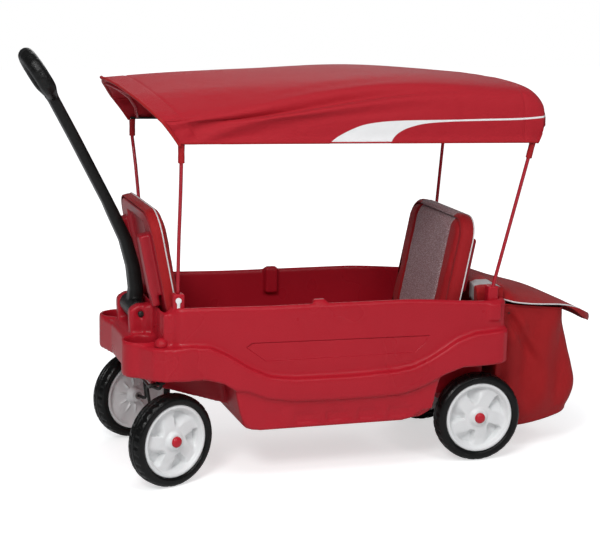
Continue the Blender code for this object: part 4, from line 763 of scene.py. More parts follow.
def dress_tub(m):
    inside = [slab("floor_inside", (behind(0.553), -0.196, 0.1215), (behind(0.177), 0.196, 0.1285)),
              slab("front_bench_inside", (behind(0.735), -0.166, 0.2440), (behind(0.520), 0.166, 0.2498)),
              slab("rear_bench_inside", (behind(0.208), -0.196, 0.2440), (behind(-0.046), 0.196, 0.2498))]
    for side in (-1, 1):
        for low, high in (((behind(0.7565), 0.1705, 0.310), (behind(0.738), 0.196, 0.3905)),
                          ((behind(-0.006), 0.205, 0.352), (behind(-0.034), 0.2165, 0.396)),
                          ((behind(0.775), 0.060, 0.316), (behind(0.757), 0.0905, 0.389))):
            ends = sorted((low[1] * side, high[1] * side))
            inside.append(slab("fillet", (low[0], ends[0], low[2]), (high[0], ends[1], high[2])))
    tub = softened_copy("tub", m["red_plastic"], 0.0040, 7, add=inside, keep=0.62)
    # the rim dips a little toward its rear end, pockets line the foot, and the ears fall away to the front
    for vertex in tub.data.vertices:
        x, y, z = vertex.co
        high = smooth_step(z, 0.300, 0.395)
        vertex.co.z -= high * (0.0035 * smooth_step(x, -0.36, -0.15) + 0.0125 * smooth_step(x, 0.12, 0.36))
        if abs(y) > 0.14 and 0.115 < z < 0.165 and behind(POCKETS_FROM) < x < behind(POCKETS_TO):
            along = (x - behind(POCKETS_FROM)) / POCKET_PITCH % 1
            pocket = smooth_step(along, 0.05, 0.16) * (1 - smooth_step(along, 0.84, 0.95))
            pocket *= smooth_step(z, 0.1290, 0.1345) * (1 - smooth_step(z, 0.1500, 0.1555))
            vertex.co.y -= copysign(POCKET_DEPTH * pocket, y)
        if x < -0.42 and abs(y) < 0.10:
            vertex.co.z -= 0.0045 * smooth_step(z, 0.370, 0.390) * smooth_step(-x, 0.424, 0.440)


# ---------------------------------------------------------------- wheels

TYRE_PROFILE = [(0.0829, 0.0185), (0.0850, 0.0212), (0.0890, 0.0221), (0.0940, 0.0220), (0.0975, 0.0212),
                (0.0982, 0.0204), (0.1008, 0.0186), (0.1026, 0.0158), (0.1036, 0.0126), (0.1042, 0.0090),
                (0.1043, 0.0062), (0.1030, 0.0050), (0.1030, 0.0036), (0.1043, 0.0024), (0.1043, 0.0)]
CAP_PROFILE = [(0, 0.0300), (0.0045, 0.0298), (0.0085, 0.0286), (0.0112, 0.0266), (0.0122, 0.0245),
               (0.0125, 0.0225), (0.0125, 0.0213), (0, 0.0213)]
SPOKE_TURN = {"front_left": -20, "front_right": 12, "rear_left": 10, "rear_right": 31}


def wheel_place(name):
    """Matrix of a wheel: local Z points away from the wagon."""
    joint = joints["roll_" + name]
    side = -1 if name.endswith("left") else 1
    outward = Vector(joint["axis"]) * side
    if name.startswith("rear"):
        outward = Vector((0, side, 0))
    first = Vector((0, 0, 1)).cross(outward).normalized()
    turn = Matrix((first, Vector((0, 0, 1)), outward)).transposed().to_4x4()
    if turn.determinant() < 0:
        turn = Matrix((-first, Vector((0, 0, 1)), outward)).transposed().to_4x4()
    return Matrix.Translation(joint["pos_m"]) @ turn


def shape_tyre(piece):
    """Cuts the shoulder blocks of the tread into the turned tyre."""
    for vertex in piece.data.vertices:
        radius = hypot(vertex.co.x, vertex.co.y)
        if radius < 0.1005 or abs(vertex.co.z) < 0.0075:
            continue
        angle = atan2(vertex.co.y, vertex.co.x) / (2 * pi) * 30
        share = angle - (angle // 1)
        dip = 1 - smooth_step(abs(share - 0.5), 0.06, 0.14)
        fade = smooth_step(radius, 0.1005, 0.1030)
        scale = 1 - 0.0026 * dip * fade / radius
        vertex.co.x *= scale
        vertex.co.y *= scale


def face_height(radius, angle):
    """Front of the rim: five wide spokes with a leaning wedge sunk between each pair."""
    turn = angle / (2 * pi) * 5 + 0.25 + (radius - 0.045) * 4.4
    share = turn - (turn // 1)
    plate = 0.0128 - 0.0030 * smooth_step(radius, 0.030, 0.060)
    width = 0.17 + 0.17 * smooth_step(radius, 0.032, 0.064)
    across = (share - 0.5) / width
    if abs(across) >= 1.15:
        return plate
    steep = 1 - smooth_step(across, 0.80, 1.0)
    gentle = smooth_step(across, -1.1, 0.35)
    ends = smooth_step(radius, 0.0315, 0.040) * (1 - smooth_step(radius, 0.0655, 0.0690))
    return plate - 0.0168 * steep * gentle * ends


def back_height(radius, angle):
    """Back of the rim: a shallow dish with ribs that spread from the hub."""
    swing = angle * 10 / 2
    rib = abs(cos(swing)) ** 24
    near = 1 - smooth_step(radius, 0.030, 0.050)
    raised = 0.0045 * rib * near * smooth_step(radius, 0.020, 0.024)
    return raised + 0.0016 * sin(angle * 5) * smooth_step(radius, 0.03, 0.06)


def rim_profile(bore):
    front = [(0.0245 + 0.0445 * i / 22, 0.0128) for i in range(23)]
    back = [(0.0690 - 0.0480 * i / 20, -0.0075) for i in range(21)]
    return ([(bore, 0.0210), (0.0150, 0.0210), (0.0172, 0.0205), (0.0195, 0.0175), (0.0225, 0.0140)] + front
            + [(0.0700, 0.0105), (0.0715, 0.0120), (0.0735, 0.0168), (0.0748, 0.0190), (0.0770, 0.0197),
               (0.0800, 0.0193), (0.0815, 0.0185), (0.0820, 0.0175), (0.0820, -0.0175), (0.0812, -0.0185),
               (0.0760, -0.0185), (0.0745, -0.0172), (0.0725, -0.0100)] + back
            + [(0.0190, -0.0085), (0.0160, -0.0210), (0.0150, -0.0238), (0.0140, -0.0240), (bore, -0.0240),
               (bore, 0.0210)])


def shape_rim(piece):
    for vertex in piece.data.vertices:
        radius = hypot(vertex.co.x, vertex.co.y)
        angle = atan2(vertex.co.y, vertex.co.x)
        if 0.0243 < radius < 0.0692:
            if abs(vertex.co.z - 0.0128) < 0.0004:
                vertex.co.z = face_height(radius, angle)
            elif abs(vertex.co.z + 0.0075) < 0.0004:
                vertex.co.z -= back_height(radius, angle)


def dress_wheels(m):
    patterns = {}
    for name in ("front_left", "front_right", "rear_left", "rear_right"):
        place = wheel_place(name)
        kind = name.split("_")[0]
        bore = 0.0043 if kind == "front" else 0.0053
        if kind not in patterns:
            tyre = turned_piece("tyre_pattern", TYRE_PROFILE + [(r, -z) for r, z in TYRE_PROFILE[-2::-1]]
                                + [TYRE_PROFILE[0]], 210, m["rubber"])
            shape_tyre(tyre)
            rim = turned_piece("rim_pattern", rim_profile(bore), 140, m["white_plastic"])
            shape_rim(rim)
            cap = turned_piece("cap_pattern", CAP_PROFILE, 40, m["cap_red"])
            patterns[kind] = (tyre, rim, cap)
        for pattern, label, degrees in zip(patterns[kind], ("tyre", "rim", "hub_cap"), (40, 50, 45)):
            piece = bpy.data.objects.new(f"{label}_{name}_finish", pattern.data.copy())
            bpy.context.collection.objects.link(piece)
            put(piece, place @ Matrix.Rotation(radians(SPOKE_TURN[name]), 4, "Z"))
            smooth_by(piece, degrees)
            node = f"{label}_{name}"
            settle(piece, body_of_node[node], node)
    for group in patterns.values():
        for pattern in group:
            bpy.data.objects.remove(pattern, do_unlink=True)


# ---------------------------------------------------------------- canopy

SEAM_MERGE, CLOTH_WALL = 0.0002, 0.0016
CANOPY_HALF = 0.269
HEM, HEM_FALL, RISE_FRONT, RISE_RIDGE, RISE_BACK = 0.757, 0.012, 0.134, 0.156, 0.121
CORNER_X, ROLL_X, BACK_X, BACK_HEM_X = -0.7392, 0.0651, 0.1095, 0.0815
# half sections from the ridge to the hem: side, rise and how far the front edge stands forward
SIDE_FRONT = [0, 0.1, 0.2, 0.3, 0.4, 0.5, 0.6, 0.7, 0.8, 0.9, 0.965, 0.992, 1, 1, 1]
RISE_AT_FRONT = [1, 0.991, 0.965, 0.933, 0.895, 0.854, 0.809, 0.743, 0.657, 0.563, 0.478, 0.42, 0.36, 0.19, 0]
FORWARD = [0.116, 0.1105, 0.1045, 0.0985, 0.0931, 0.0879, 0.0827, 0.074, 0.064, 0.0536, 0.0445, 0.038, 0.032,
           0.016, 0]
SIDE_BACK = [0, 0.12, 0.24, 0.36, 0.48, 0.60, 0.70, 0.79, 0.87, 0.93, 0.97, 0.992, 1, 1, 1]
RISE_AT_BACK = [1, 1, 0.999, 0.998, 0.996, 0.99, 0.978, 0.95, 0.893, 0.80, 0.665, 0.50, 0.34, 0.17, 0]
CREASE = [13.3, 11.7, 10.8, 10.1, 9.5, 9.0, 8.6, 8.3, 8.1, 8.0, 8.0]


def roof_ridge(share):
    if share < 0.45:
        return HEM + RISE_FRONT + (RISE_RIDGE - RISE_FRONT) * sin(share / 0.45 * pi / 2)
    return HEM + RISE_RIDGE + (RISE_BACK - RISE_RIDGE) * (1 - cos((share - 0.45) / 0.55 * pi / 2))


def roof_point(share, across):
    """The cloth's outer face: share runs front to back, across from side to side in even steps of cloth."""
    share = min(1.0, max(0.0, share))
    place = min(14.0, abs(across) * 14)
    back = smooth_step(share, 0.0, 0.80)
    side = along_table(SIDE_FRONT, place, True) * (1 - back) + along_table(SIDE_BACK, place, True) * back
    rise = along_table(RISE_AT_FRONT, place) * (1 - back) + along_table(RISE_AT_BACK, place) * back
    hem = HEM + HEM_FALL * (1 - share)
    z = hem + (roof_ridge(share) - hem) * max(0.0, rise)
    start = CORNER_X - along_table(FORWARD, place)
    if share < 0.88:
        x = start + (ROLL_X - start) * share / 0.88
    else:
        turn = (share - 0.88) / 0.12 * pi / 2
        z -= min(0.038, (z - hem) * 0.45) * (1 - cos(turn))
        end = BACK_X - (BACK_X - BACK_HEM_X) * (1 - min(1.0, (z - hem) / 0.085)) ** 1.3
        x = ROLL_X + (end - ROLL_X) * sin(turn)
    return Vector((rear_axle_x + x, (1 if across > 0 else -1) * min(1.0, side) * CANOPY_HALF, z))


def roof_folds(share, across):
    """Folds that fan out from the front corners, and the long creases of a stretched roof."""
    place = abs(across) * 14
    crease = along_table(CREASE, min(9.99, share / 0.075))
    size = smooth_step(share, 0.0, 0.10) * (1 - smooth_step(share, 0.42, 0.80))
    depth = 0.0056 * exp(-((place - crease + 0.3) / 0.75) ** 2)
    depth -= 0.0104 * exp(-((place - crease - 0.75) / 0.48) ** 2)
    depth += 0.0064 * exp(-((place - crease - 1.75) / 0.42) ** 2)
    depth -= 0.0030 * exp(-((place - crease - 2.8) / 0.50) ** 2)
    depth *= size
    high, begun = 1 - 0.55 * share, smooth_step(share, 0.02, 0.14)
    for slope, width, height in ((0.10, 0.30, 0.0012), (0.20, 0.40, -0.0016), (0.33, 0.45, 0.0014)):
        line = 12.6 - 14 * slope * (0.35 + 2.3 * share)
        depth += height * exp(-((place - line) / (width + share)) ** 2) * begun * high
    wave = noise.noise(Vector((share * 4.0, across * 2.6, 0.3))) * 0.0026
    near_corner = smooth_step(place, 8.5, 12.0) * (1 - smooth_step(share, 0.05, 0.13))
    pucker = 0.0016 * sin(place * 5.2 + share * 60) * near_corner * smooth_step(share, 0.0, 0.02)
    seam = -0.0011 * exp(-((share - 0.052) / 0.0032) ** 2) - 0.0010 * exp(-((share - 0.865) / 0.0030) ** 2)
    return depth - 0.0035 + wave + pucker + seam


def canopy_rows(columns, count):
    rows = []
    shares = [i / count for i in range(count + 1)]
    shares = sorted(set(shares + [0.046, 0.049, 0.052, 0.055, 0.058, 0.86, 0.8625, 0.865, 0.8675, 0.87]))
    for share in shares:
        row = []
        for j in range(columns + 1):
            across = 2 * j / columns - 1
            here = roof_point(share, across)
            along = roof_point(share + 0.004, across) - roof_point(share - 0.004, across)
            beside = roof_point(share, min(1, across + 0.012)) - roof_point(share, max(-1, across - 0.012))
            outward = along.cross(beside).normalized()
            middle = Vector((here.x, 0, 0.74))
            if outward.dot(here - middle) < 0:
                outward = -outward
            edge = smooth_step(14 * (1 - abs(across)), 0.0, 0.7)
            row.append(here + outward * (roof_folds(share, across) * edge))
        rows.append(row)
    last = rows[-1]
    for fall in (0.90, 0.78, 0.64, 0.48, 0.32, 0.16, 0.0):
        row = []
        for p in last:
            z = HEM + (p.z - HEM) * fall
            end = BACK_X - (BACK_X - BACK_HEM_X) * (1 - min(1.0, (z - HEM) / 0.085)) ** 1.3
            row.append(Vector((rear_axle_x + end + 0.0008, p.y, z)))
        rows.append(row)
    return rows


def dress_canopy(m):
    canopy = in_edit(grid_piece("canopy_cloth", canopy_rows(140, 104), m["canopy"]), SEAM_MERGE, outward=True)
    middle = canopy.data.polygons[len(canopy.data.polygons) // 2]
    if middle.normal.z < 0:
        canopy.data.flip_normals()
    thicken(canopy, CLOTH_WALL)
    settle(canopy, "canopy", "canopy_fabric", slot="red_fabric")
    edge = [roof_point(0.0, 2 * j / 160 - 1) + Vector((0.0010, 0, -0.0030)) for j in range(161)]
    trims = [tube_piece("canopy_front_binding", edge, 0.0034, m["bag"], 12)]
    for side in (-1, 1):
        hem = [roof_point(i / 60, side) + Vector((0, -side * 0.0006, 0.0026)) for i in range(61)]
        trims.append(tube_piece("canopy_hem_" + ("left" if side < 0 else "right"), hem, 0.0018, m["bag"]))
    for trim in trims:
        settle(trim, "canopy")


def pole_ends(pole):
    """The middle of a pole's foot and of its top."""
    places = [v.co for v in nodes[pole].data.vertices]
    ends = []
    for wanted in (min(v.z for v in places), max(v.z for v in places)):
        ring = [v for v in places if abs(v.z - wanted) < 0.005]
        ends.append(sum(ring, Vector()) / len(ring))
    return ends


def dress_sleeves(m):
    for end in ("front", "rear"):
        for side in ("left", "right"):
            node = f"sleeve_{end}_{side}"
            low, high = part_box(node)
            length = high.z - low.z
            profile = [(0.0046, 0), (0.0066, 0.0004), (0.0074, 0.0020), (0.0070, 0.0040), (0.0072, 0.012),
                       (0.0069, length * 0.55), (0.0073, length - 0.004), (0.0074, length), (0.0046, length),
                       (0.0046, 0)]
            piece = turned_piece(node + "_sewn", profile, 28, m["bag"])
            add_cloth_map(piece)
            if end == "front":
                put(piece, Matrix.Translation(((low.x + high.x) / 2, (low.y + high.y) / 2, low.z)))
            else:
                # the rear sleeves lie along their slanting poles
                foot, top = pole_ends(f"pole_{end}_{side}")
                lean = (top - foot).to_track_quat("Z", "Y").to_matrix().to_4x4()
                put(piece, Matrix.Translation(top) @ lean @ Matrix.Translation((0, 0, -length)))
            smooth_by(piece, 50)
            settle(piece, "canopy", node, slot="red_fabric")


def add_cloth_map(piece):
    """Cloth coordinates for a turned or plain piece, from its own place."""
    layer = cloth_layer(piece)
    for loop in piece.data.loops:
        co = piece.data.vertices[loop.vertex_index].co
        layer.data[loop.index].uv = (co.x + co.y * 0.7, co.z + co.y * 0.2)


# ---------------------------------------------------------------- seats

SEAT_LEAN = radians(11.0)
PAD_EASES, PAD_GIVE, PAD_BACK = -0.0260, 0.0056, -0.0090


def seat_place(end):
    joint = joints[f"seat_{end}_fold"]
    spin = pi if end == "front" else 0.0
    turn = Matrix.Rotation(spin, 4, "Z") @ Matrix.Rotation(SEAT_LEAN, 4, "Y")
    return Matrix.Translation(joint["pos_m"]) @ turn


def pad_outline(z, low, top, half, corner):
    """Half width of the cover at a height, drawn in between its corners."""
    share = max(0.0, z - (top - corner)) / corner
    drawn = 0.004 * sin(pi * (z - low) / (top - low))
    return half - drawn - corner * (1 - max(0.0, 1 - min(share, 0.995) ** 2) ** 0.5)


def pad_rows(length, shrink, wings):
    """Rings of the cover from bottom to top, in the seat's own frame."""
    half, corner = 0.1655 - shrink, 0.050
    low, top = 0.016 + shrink, length + 0.003 - shrink
    back = -0.0085
    rows = []
    levels = [low + (top - low) * (0.5 - 0.5 * cos(pi * i / 26)) for i in range(27)]
    for z in levels:
        reach = pad_outline(z, low, top, half, corner)
        height = (z - low) / (top - low)
        raised = wings * smooth_step(z, length - 0.17, length - 0.11)
        ends = min(1.0, (max(0, height) / 0.10) ** 0.5, (max(0, 1 - height) / 0.10) ** 0.5)
        row = []
        for j in range(41):
            u = 2 * j / 40 - 1
            edge = (1 - abs(u) ** 5) ** 0.5
            depth = (0.024 - shrink) * (0.34 + 0.66 * edge) * (0.34 + 0.66 * ends)
            depth -= 0.0050 * exp(-((abs(u) - 0.64) / 0.035) ** 2)
            wing = raised * smooth_step(abs(u), 0.66, 0.95) * ends
            row.append(Vector((back - depth - wing, u * reach, z)))
        row += [Vector((back, reach * (1 - 2 * j / 10), z)) for j in range(11)]
        rows.append(row)
    return rows


def seat_edge(length, offset, steps=70):
    """Points up one side of the seat, round its top corners and down the other side."""
    half, corner, low, top = 0.1655 + offset, 0.050 + offset, 0.020, length + 0.003 + offset
    side = top - corner - low
    arc = corner * pi / 2
    flat = 2 * (half - corner)
    total = 2 * side + 2 * arc + flat
    points = []
    for i in range(steps + 1):
        run = total * i / steps
        if run < side:
            points.append((-half, low + run))
        elif run < side + arc:
            a = (run - side) / corner
            points.append((-half + corner - corner * cos(a), top - corner + corner * sin(a)))
        elif run < side + arc + flat:
            points.append((-half + corner + run - side - arc, top))
        elif run < side + 2 * arc + flat:
            a = (run - side - arc - flat) / corner
            points.append((half - corner + corner * sin(a), top - corner + corner * cos(a)))
        else:
            points.append((half, low + total - run))
    return points


def puff(piece, pressure, cap):
    """Swells a closed cover with the cloth solver, and keeps it near its shape."""
    before = [v.co.copy() for v in piece.data.vertices]
    cloth = piece.modifiers.new("puff", "CLOTH")
    cloth.settings.quality = 5
    cloth.settings.mass = 0.3
    cloth.settings.use_pressure = True
    cloth.settings.uniform_pressure_force = pressure
    cloth.settings.effector_weights.gravity = 0
    cloth.settings.tension_stiffness = 12
    cloth.settings.compression_stiffness = 12
    cloth.settings.bending_stiffness = 0.6
    cloth.point_cache.frame_start = 1
    cloth.point_cache.frame_end = 20
    for step in range(1, 21):
        bpy.context.scene.frame_set(step)
    make_active(piece)
    bpy.ops.object.modifier_apply(modifier=cloth.name)
    bpy.context.scene.frame_set(1)
    for vertex, old in zip(piece.data.vertices, before):
        move = vertex.co - old
        if move.length > cap:
            vertex.co = old + move * (cap / move.length)
    return piece


def dress_seat(end, m):
    place = seat_place(end)
    length = 0.325 if end == "front" else 0.290
    # moulded back with its two braces
    more = []
    for side in (-1, 1):
        ends = sorted((side * 0.104, side * 0.140))
        more.append(slab("brace_foot", (0.0140, ends[0], 0.118), (0.0310, ends[1], 0.150), 0.004, place))
    back = softened_copy("seat_back_" + end, m["red_small"], 0.0021, 5, add=more, keep=0.6, square=place)
    # the panel is dished between its braces
    facing = place.inverted()
    foot, head = (0.036, 0.044), (length - 0.030, length - 0.022)
    for vertex in back.data.vertices:
        local = facing @ vertex.co
        if local.x > 0.0010:
            inner = 1 - smooth_step(abs(local.y), 0.088, 0.094)
            inner *= smooth_step(local.z, *foot) * (1 - smooth_step(local.z, *head))
            local.x += (0.0010 - local.x) * inner
            vertex.co = place @ local
    # cover
    wings = 0.0 if end == "front" else 0.004
    pad = grid_piece("seat_cover_" + end, pad_rows(length, 0.0018, wings), m["seat"], wrap=True, cap=True)
    put(in_edit(pad, outward=True), place)
    remesh = pad.modifiers.new("skin", "REMESH")
    remesh.mode = "VOXEL"
    remesh.voxel_size = 0.005
    apply_all(pad)
    puff(pad, 4.0, 0.006)
    # its depth levels off softly, so that it clears the bench when folded
    for vertex in pad.data.vertices:
        local = facing @ vertex.co
        if local.x < PAD_EASES:
            local.x = PAD_EASES - PAD_GIVE * (1 - exp((local.x - PAD_EASES) / PAD_GIVE))
        local.x = min(local.x, PAD_BACK)
        vertex.co = place @ local
    finer = pad.modifiers.new("finer", "SUBSURF")
    finer.levels = 1
    finer.render_levels = 1
    apply_all(pad)
    # seam channels beside the grey panel
    for vertex in pad.data.vertices:
        local = facing @ vertex.co
        if local.x < -0.014:
            groove = exp(-((abs(local.y) - 0.104) / 0.0035) ** 2)
            local.x += 0.0045 * groove * smooth_step(-local.x, 0.014, 0.022)
            local.x += 0.0008 * noise.noise(local * 30)
            vertex.co = place @ local
    smooth_shade(pad)
    add_seat_map(pad, facing)
    settle(pad, "seat_" + end, "seat_pad_" + end, slot="red_fabric")
    # the cover's side band, and its white piping
    front_x, back_x = (-0.0165, 0.0070) if end == "front" else (-0.0165, 0.0086)
    rows = []
    for x, swell in ((front_x - 0.0072, -0.0085), (front_x - 0.0052, -0.0042), (front_x - 0.0010, -0.0002),
                     (front_x + 0.0030, 0.0012),
                     (front_x * 0.5 + back_x * 0.5, 0.0016), (back_x - 0.001, 0.0010), (back_x, -0.0006)):
        rows.append([place @ Vector((x, y, z)) for y, z in seat_edge(length, 0.0012 + swell)])
    band = grid_piece(f"seat_{end}_side_band", rows, m["bag" if end == "front" else "seat"])
    thicken(band, 0.0012, 0)
    settle(band, "seat_" + end)
    pipe_x = front_x + 0.002 if end == "front" else back_x - 0.001
    line = [place @ Vector((pipe_x, y, z)) for y, z in seat_edge(length, 0.0022, 120)]
    piping = tube_piece(f"seat_{end}_piping", line, 0.0018, m["piping"])
    settle(piping, "seat_" + end)


def add_seat_map(pad, facing):
    layer = cloth_layer(pad)
    for loop in pad.data.loops:
        local = facing @ pad.data.vertices[loop.vertex_index].co
        layer.data[loop.index].uv = (local.y, local.z)


# ---------------------------------------------------------------- rear bag

TUB_REAR = 0.056
BAG_REACH = [0.2155, 0.2185, 0.2185, 0.2160, 0.211, 0.206, 0.199, 0.193, 0.187, 0.180, 0.175]
BAG_HALF = [0.126, 0.134, 0.138, 0.139, 0.140, 0.142, 0.146, 0.150, 0.154, 0.157, 0.158]


def bag_point(turn, level):
    """Outer face of the bag: turn runs round it from the near side, level from bottom to mouth."""
    reach = along_table(BAG_REACH, level * 10)
    half = along_table(BAG_HALF, level * 10)
    corner = 0.034
    front = 0.0022
    side_length, back_length = reach - corner - front, 2 * (half - corner)
    arc_length = corner * pi / 2
    total = 2 * side_length + 2 * arc_length + back_length
    run = turn * total
    if run < side_length:
        x, y, nx, ny = front + run, -half, 0.0, -1.0
    elif run < side_length + arc_length:
        a = (run - side_length) / corner
        x, y = reach - corner + corner * sin(a), -half + corner - corner * cos(a)
        nx, ny = sin(a), -cos(a)
    elif run < side_length + arc_length + back_length:
        x, y, nx, ny = reach, -half + corner + run - side_length - arc_length, 1.0, 0.0
    elif run < total - side_length:
        a = (run - side_length - arc_length - back_length) / corner
        x, y = reach - corner + corner * cos(a), half - corner + corner * sin(a)
        nx, ny = cos(a), sin(a)
    else:
        x, y, nx, ny = front + (total - run), half, 0.0, 1.0
    low = 0.0555 + 0.037 * (x / 0.2155) ** 2.6
    high = 0.3645 - 0.11 * (x - 0.008)
    z = low + (high - low) * level
    # the side walls hang in soft upright folds from the mouth; one runs down from the near front corner
    beside = min(run, total - run)
    hang = smooth_step(1 - level, 0.03, 0.30) * smooth_step(level, 0.02, 0.30)
    slant = beside - 0.012 - 0.66 * (1 - level) * 0.29
    fold = -0.0110 * exp(-(slant / 0.011) ** 2) * smooth_step(1 - level, 0.02, 0.10)
    fold *= 1 - smooth_step(1 - level, 0.30, 0.50)
    ridge = 0.0042 * exp(-((slant - 0.020) / 0.012) ** 2) * smooth_step(1 - level, 0.02, 0.12)
    fold += ridge * smooth_step(level, 0.45, 0.75)
    fold += 0.0066 * cos(2 * pi * (beside - 0.128) / 0.088) * hang
    fold += 0.0035 * noise.noise(Vector((run * 11, level * 3.4, 1.7)))
    belly = 0.004 * sin(pi * min(1.0, level / 0.62)) ** 2
    ends = smooth_step(beside, 0.0, 0.025)
    out = (fold + belly - 0.003) * ends
    return Vector((rear_axle_x + TUB_REAR + x + nx * out, y + ny * out, z))


def dress_bag(m):
    across, levels = 120, 54
    rows = []
    for i in range(levels + 1):
        level = i / levels
        row = [bag_point(j / across, level) for j in range(across + 1)]
        end, back = row[-1], rear_axle_x + TUB_REAR + 0.0022
        rows.append(row + [Vector((back, end.y * (1 - 2 * k / 14), end.z)) for k in range(1, 14)])
    bottom = rows[0]
    middle = sum(bottom, Vector()) / len(bottom)
    inner = [[p.lerp(middle, s) + Vector((0, 0, -0.004 * sin(pi * min(1, s * 1.2)) ** 2)) for p in bottom]
             for s in (0.97, 0.75, 0.5, 0.25, 0.08)]
    bag = grid_piece("bag_shell", inner + rows, m["bag"], wrap=True)
    make_active(bag)
    bpy.ops.object.mode_set(mode="EDIT")
    bpy.ops.mesh.select_all(action="DESELECT")
    bpy.ops.object.mode_set(mode="OBJECT")
    for index in range(len(bottom)):
        bag.data.vertices[index].select = True
    bpy.ops.object.mode_set(mode="EDIT")
    bpy.ops.mesh.select_mode(type="VERT")
    bpy.ops.mesh.merge(type="CENTER")
    bpy.ops.mesh.select_all(action="SELECT")
    bpy.ops.mesh.normals_make_consistent(inside=False)
    bpy.ops.object.mode_set(mode="OBJECT")
    thicken(bag, CLOTH_WALL)
    smooth_shade(bag)
    settle(bag, "tub", "storage_bag", slot="red_fabric")
    hem = [bag_point(j / across, 1.0) + Vector((0, 0, 0.0004)) for j in range(across + 1)]
    rim = tube_piece("bag_hem", hem, 0.0022, m["bag"])
    settle(rim, "tub")


FLAP_REACH, FLAP_SEAM_HEIGHT = 0.271, 0.4063


def flap_side(away):
    """Half width of the flap's straight part at a distance from its seam."""
    return 0.150 + 0.018 * smooth_step(away, -0.004, 0.022)


def flap_height(away, across):
    narrow = 6 - 4 * smooth_step(away, 0.0, 0.06)
    droop = 0.031 * (1 - smooth_step(away, 0.02, 0.20)) * abs(across) ** narrow
    if across > 0:
        spent = 1 - 0.5 * smooth_step(away, 0.15, 0.26)
        droop += 0.013 * across ** 2 * smooth_step(away, 0.0, 0.10) * spent
    soft = 0.0024 * noise.noise(Vector((away * 14, across * 2.6, 2.2))) * smooth_step(away, 0.01, 0.06)
    return FLAP_SEAM_HEIGHT + 0.0012 - 0.19 * away - 0.64 * away ** 2 - droop + soft


def dress_flap(m):
    start = TUB_REAR + 0.0089
    columns = 84
    rows = []
    ends = []
    for j in range(columns + 1):
        across = sin(-pi / 2 + pi * j / columns)
        ends.append((across, FLAP_REACH * max(0.0, 1 - abs(across) ** 2.2) ** 0.2))
    for i in range(45):
        share = i / 44
        row = []
        for across, reach in ends:
            away = -0.004 + (reach + 0.004) * share
            height = flap_height(away, across)
            row.append(Vector((rear_axle_x + start + away, across * flap_side(away), height)))
        rows.append(row)
    for fall, out in ((0.15, 0.0016), (0.45, 0.0022), (0.75, 0.0018), (1.0, 0.0)):
        row = []
        for point, (across, reach) in zip(rows[44], ends):
            drop = 0.0008 + 0.0165 * smooth_step(reach, 0.15, 0.23)
            aside = Vector((1.0, across * 0.6, 0)).normalized()
            row.append(point + aside * (out * smooth_step(reach, 0.15, 0.20)) - Vector((0, 0, drop * fall)))
        rows.append(row)
    flap = in_edit(grid_piece("bag_flap_cloth", rows, m["bag"]), SEAM_MERGE, outward=True)
    if flap.data.polygons[len(flap.data.polygons) // 2].normal.z < 0:
        flap.data.flip_normals()
    thicken(flap, 0.0026, 0)
    smooth_shade(flap)
    settle(flap, "flap", "bag_flap", slot="red_fabric")
    pipings = []
    for label, side in (("left", -1), ("right", 1)):
        line = []
        for i in range(61):
            away = -0.003 + 0.200 * i / 60
            across = (1 - (max(0.0, away) / FLAP_REACH) ** 5) ** (1 / 2.2)
            line.append(Vector((rear_axle_x + start + away, side * (across * flap_side(away) + 0.0008),
                                flap_height(away, across * side) + 0.0004)))
        pipings.append(tube_piece("bag_flap_piping_" + label, line, 0.0017, m["piping"]))
    seam = [Vector((rear_axle_x + start, y, FLAP_SEAM_HEIGHT)) for y in (-0.139, 0, 0.139)]
    roll = tube_piece("bag_flap_fold", seam, 0.0026, m["bag"], 12)
    for piece in pipings + [roll]:
        settle(piece, "flap")


def dress_cover(m):
    """The crowned cover behind the seat, between the tub's rear wall and the flap."""
    rows = []
    rear = TUB_REAR + 0.006
    for i in range(25):
        back = 0.066 * (1 - i / 24)
        share = smooth_step(back, -0.002, 0.030) * (1 - 0.3 * smooth_step(back, 0.052, 0.066))
        row = []
        for j in range(61):
            across = 2 * j / 60 - 1
            lift = 0.018 * share * (1 - across ** 4)
            soft = 0.0010 * noise.noise(Vector((back * 30, across * 4, 7)))
            row.append(Vector((rear_axle_x + rear - back, across * 0.160, 0.4068 + lift + soft)))
        rows.append(row)
    # its front edge hangs down inside the tub, and its sides are closed
    hanging = [[Vector((point.x - 0.0016, point.y, point.z - fall)) for point in rows[0]]
               for fall in (0.040, 0.030, 0.020, 0.010, 0.003)]
    closed = []
    for row in hanging + rows:
        sides = [[Vector((end.x, end.y + copysign(0.0018, end.y), end.z + (0.3655 - end.z) * share))
                  for share in (1.0, 0.65, 0.30)] for end in (row[0], row[-1])]
        closed.append(sides[0] + row + sides[1][::-1])
    cover = grid_piece("bag_cover_cloth", closed, m["cover"])
    if cover.data.polygons[len(cover.data.polygons) - 33].normal.z < 0:
        cover.data.flip_normals()
    thicken(cover, 0.0022)
    settle(cover, "tub", "bag_cover", slot="red_fabric")


# ---------------------------------------------------------------- small rigid pieces

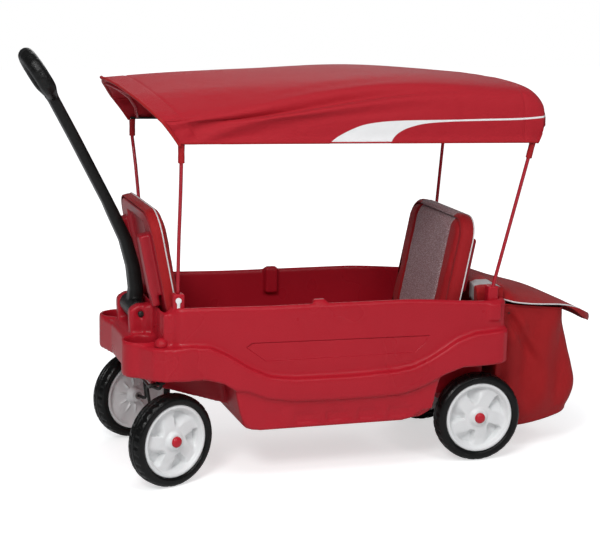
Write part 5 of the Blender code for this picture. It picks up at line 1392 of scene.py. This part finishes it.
def shape_grip(piece):
    """Fills the grip's ring out to a broad, thick loop."""
    shaft_end, shaft_bend = Vector((-0.184, 0, 0.485)), Vector((-0.1325, 0, 0.387))
    end = Vector(joints["handle_tilt"]["pos_m"]) + shaft_end
    along = (shaft_end - shaft_bend).normalized()
    lean = (along + Vector((-0.08, 0, 0))).normalized()
    middle = end + lean * 0.048
    for vertex in piece.data.vertices:
        offset = vertex.co - middle
        up, side = offset.dot(lean), offset.y
        if up < -0.085:
            continue
        angle = atan2(side / 0.052, up / 0.054)
        nearest = middle + lean * (0.054 * cos(angle)) + Vector((0, 0.052 * sin(angle), 0))
        if (vertex.co - nearest).length > 0.016:
            continue
        share = smooth_step(up, -0.062, -0.022)
        wider = middle + lean * (0.052 * cos(angle)) + Vector((0, 0.055 * sin(angle), 0))
        vertex.co = vertex.co.lerp(wider + (vertex.co - nearest) * 1.62, share)


FRONT_SOCKET_DROP, REAR_SOCKET_DROP = 0.0115, 0.026


def dress_rest(m):
    for end in ("front", "rear"):
        for side in ("left", "right"):
            socket = softened_copy(f"pole_socket_{end}_{side}", m["red_plastic"], 0.0016, 4)
            drop = REAR_SOCKET_DROP if end == "rear" else FRONT_SOCKET_DROP
            put(socket, Matrix.Translation((0, 0, -drop)))
            pole = f"pole_{end}_{side}"
            if end == "front":
                polished_copy(pole, m["red_paint"], 50)
                continue
            foot, top = pole_ends(pole)
            foot.x -= 0.007
            run = [foot.lerp(top, i / 12) for i in range(13)]
            settle(tube_piece(pole + "_tube", run, 0.0042, m["red_paint"], 16), "canopy", pole)
    for side in ("left", "right"):
        clip = polished_copy("pole_clip_" + side, m["white_plastic"], 30, 0.0006)
        put(clip, Matrix.Translation((-0.002, 0, -FRONT_SOCKET_DROP)))
        polished_copy("fork_" + side, m["black_steel"], 60)
        polished_copy("steering_arm_" + side, m["black_steel"], 30)
        softened_copy("kingpin_cap_" + side, m["red_plastic"], 0.0009, 3)
        polished_copy("kingpin_bush_" + side, m["black_plastic"], 40)
        polished_copy("axle_spacer_" + side, m["black_plastic"], 40)
        polished_copy("axle_collar_" + side, m["zinc"], 40)
        polished_copy("canopy_rail_" + side, m["black_steel"], 60)
    handle = softened_copy("handle", m["black_plastic"], 0.0022, 5)
    shape_grip(handle)
    for node in ("tie_rod", "handle_bolt"):
        polished_copy(node, m["black_steel"], 60)
    for node in ("canopy_bow_front", "canopy_bow_rear"):
        bow = polished_copy(node, m["red_paint"], 60)
        for vertex in bow.data.vertices:
            vertex.co.y *= 0.965
            vertex.co.z -= 0.0075 + 0.004 * smooth_step(abs(vertex.co.y), 0.18, 0.24)
    hoop = polished_copy("bag_hoop", m["black_steel"], 60)
    middle = behind(-TUB_REAR - 0.090)
    for vertex in hoop.data.vertices:
        x, y, z = vertex.co
        vertex.co = (middle + (x - middle) * 0.93, y * 0.95, z + 0.0095 + (x - behind(-TUB_REAR)) * 0.1957)
    for node in ("handle_nut", "rear_axle", "seat_hinge_rod_front", "seat_hinge_rod_rear"):
        polished_copy(node, m["zinc"], 35)


place_camera()
light_studio()
lay_floor()
materials = make_materials()
dress_tub(materials)
dress_wheels(materials)
dress_canopy(materials)
dress_sleeves(materials)
for end in ("front", "rear"):
    dress_seat(end, materials)
dress_bag(materials)
dress_flap(materials)
dress_cover(materials)
dress_rest(materials)
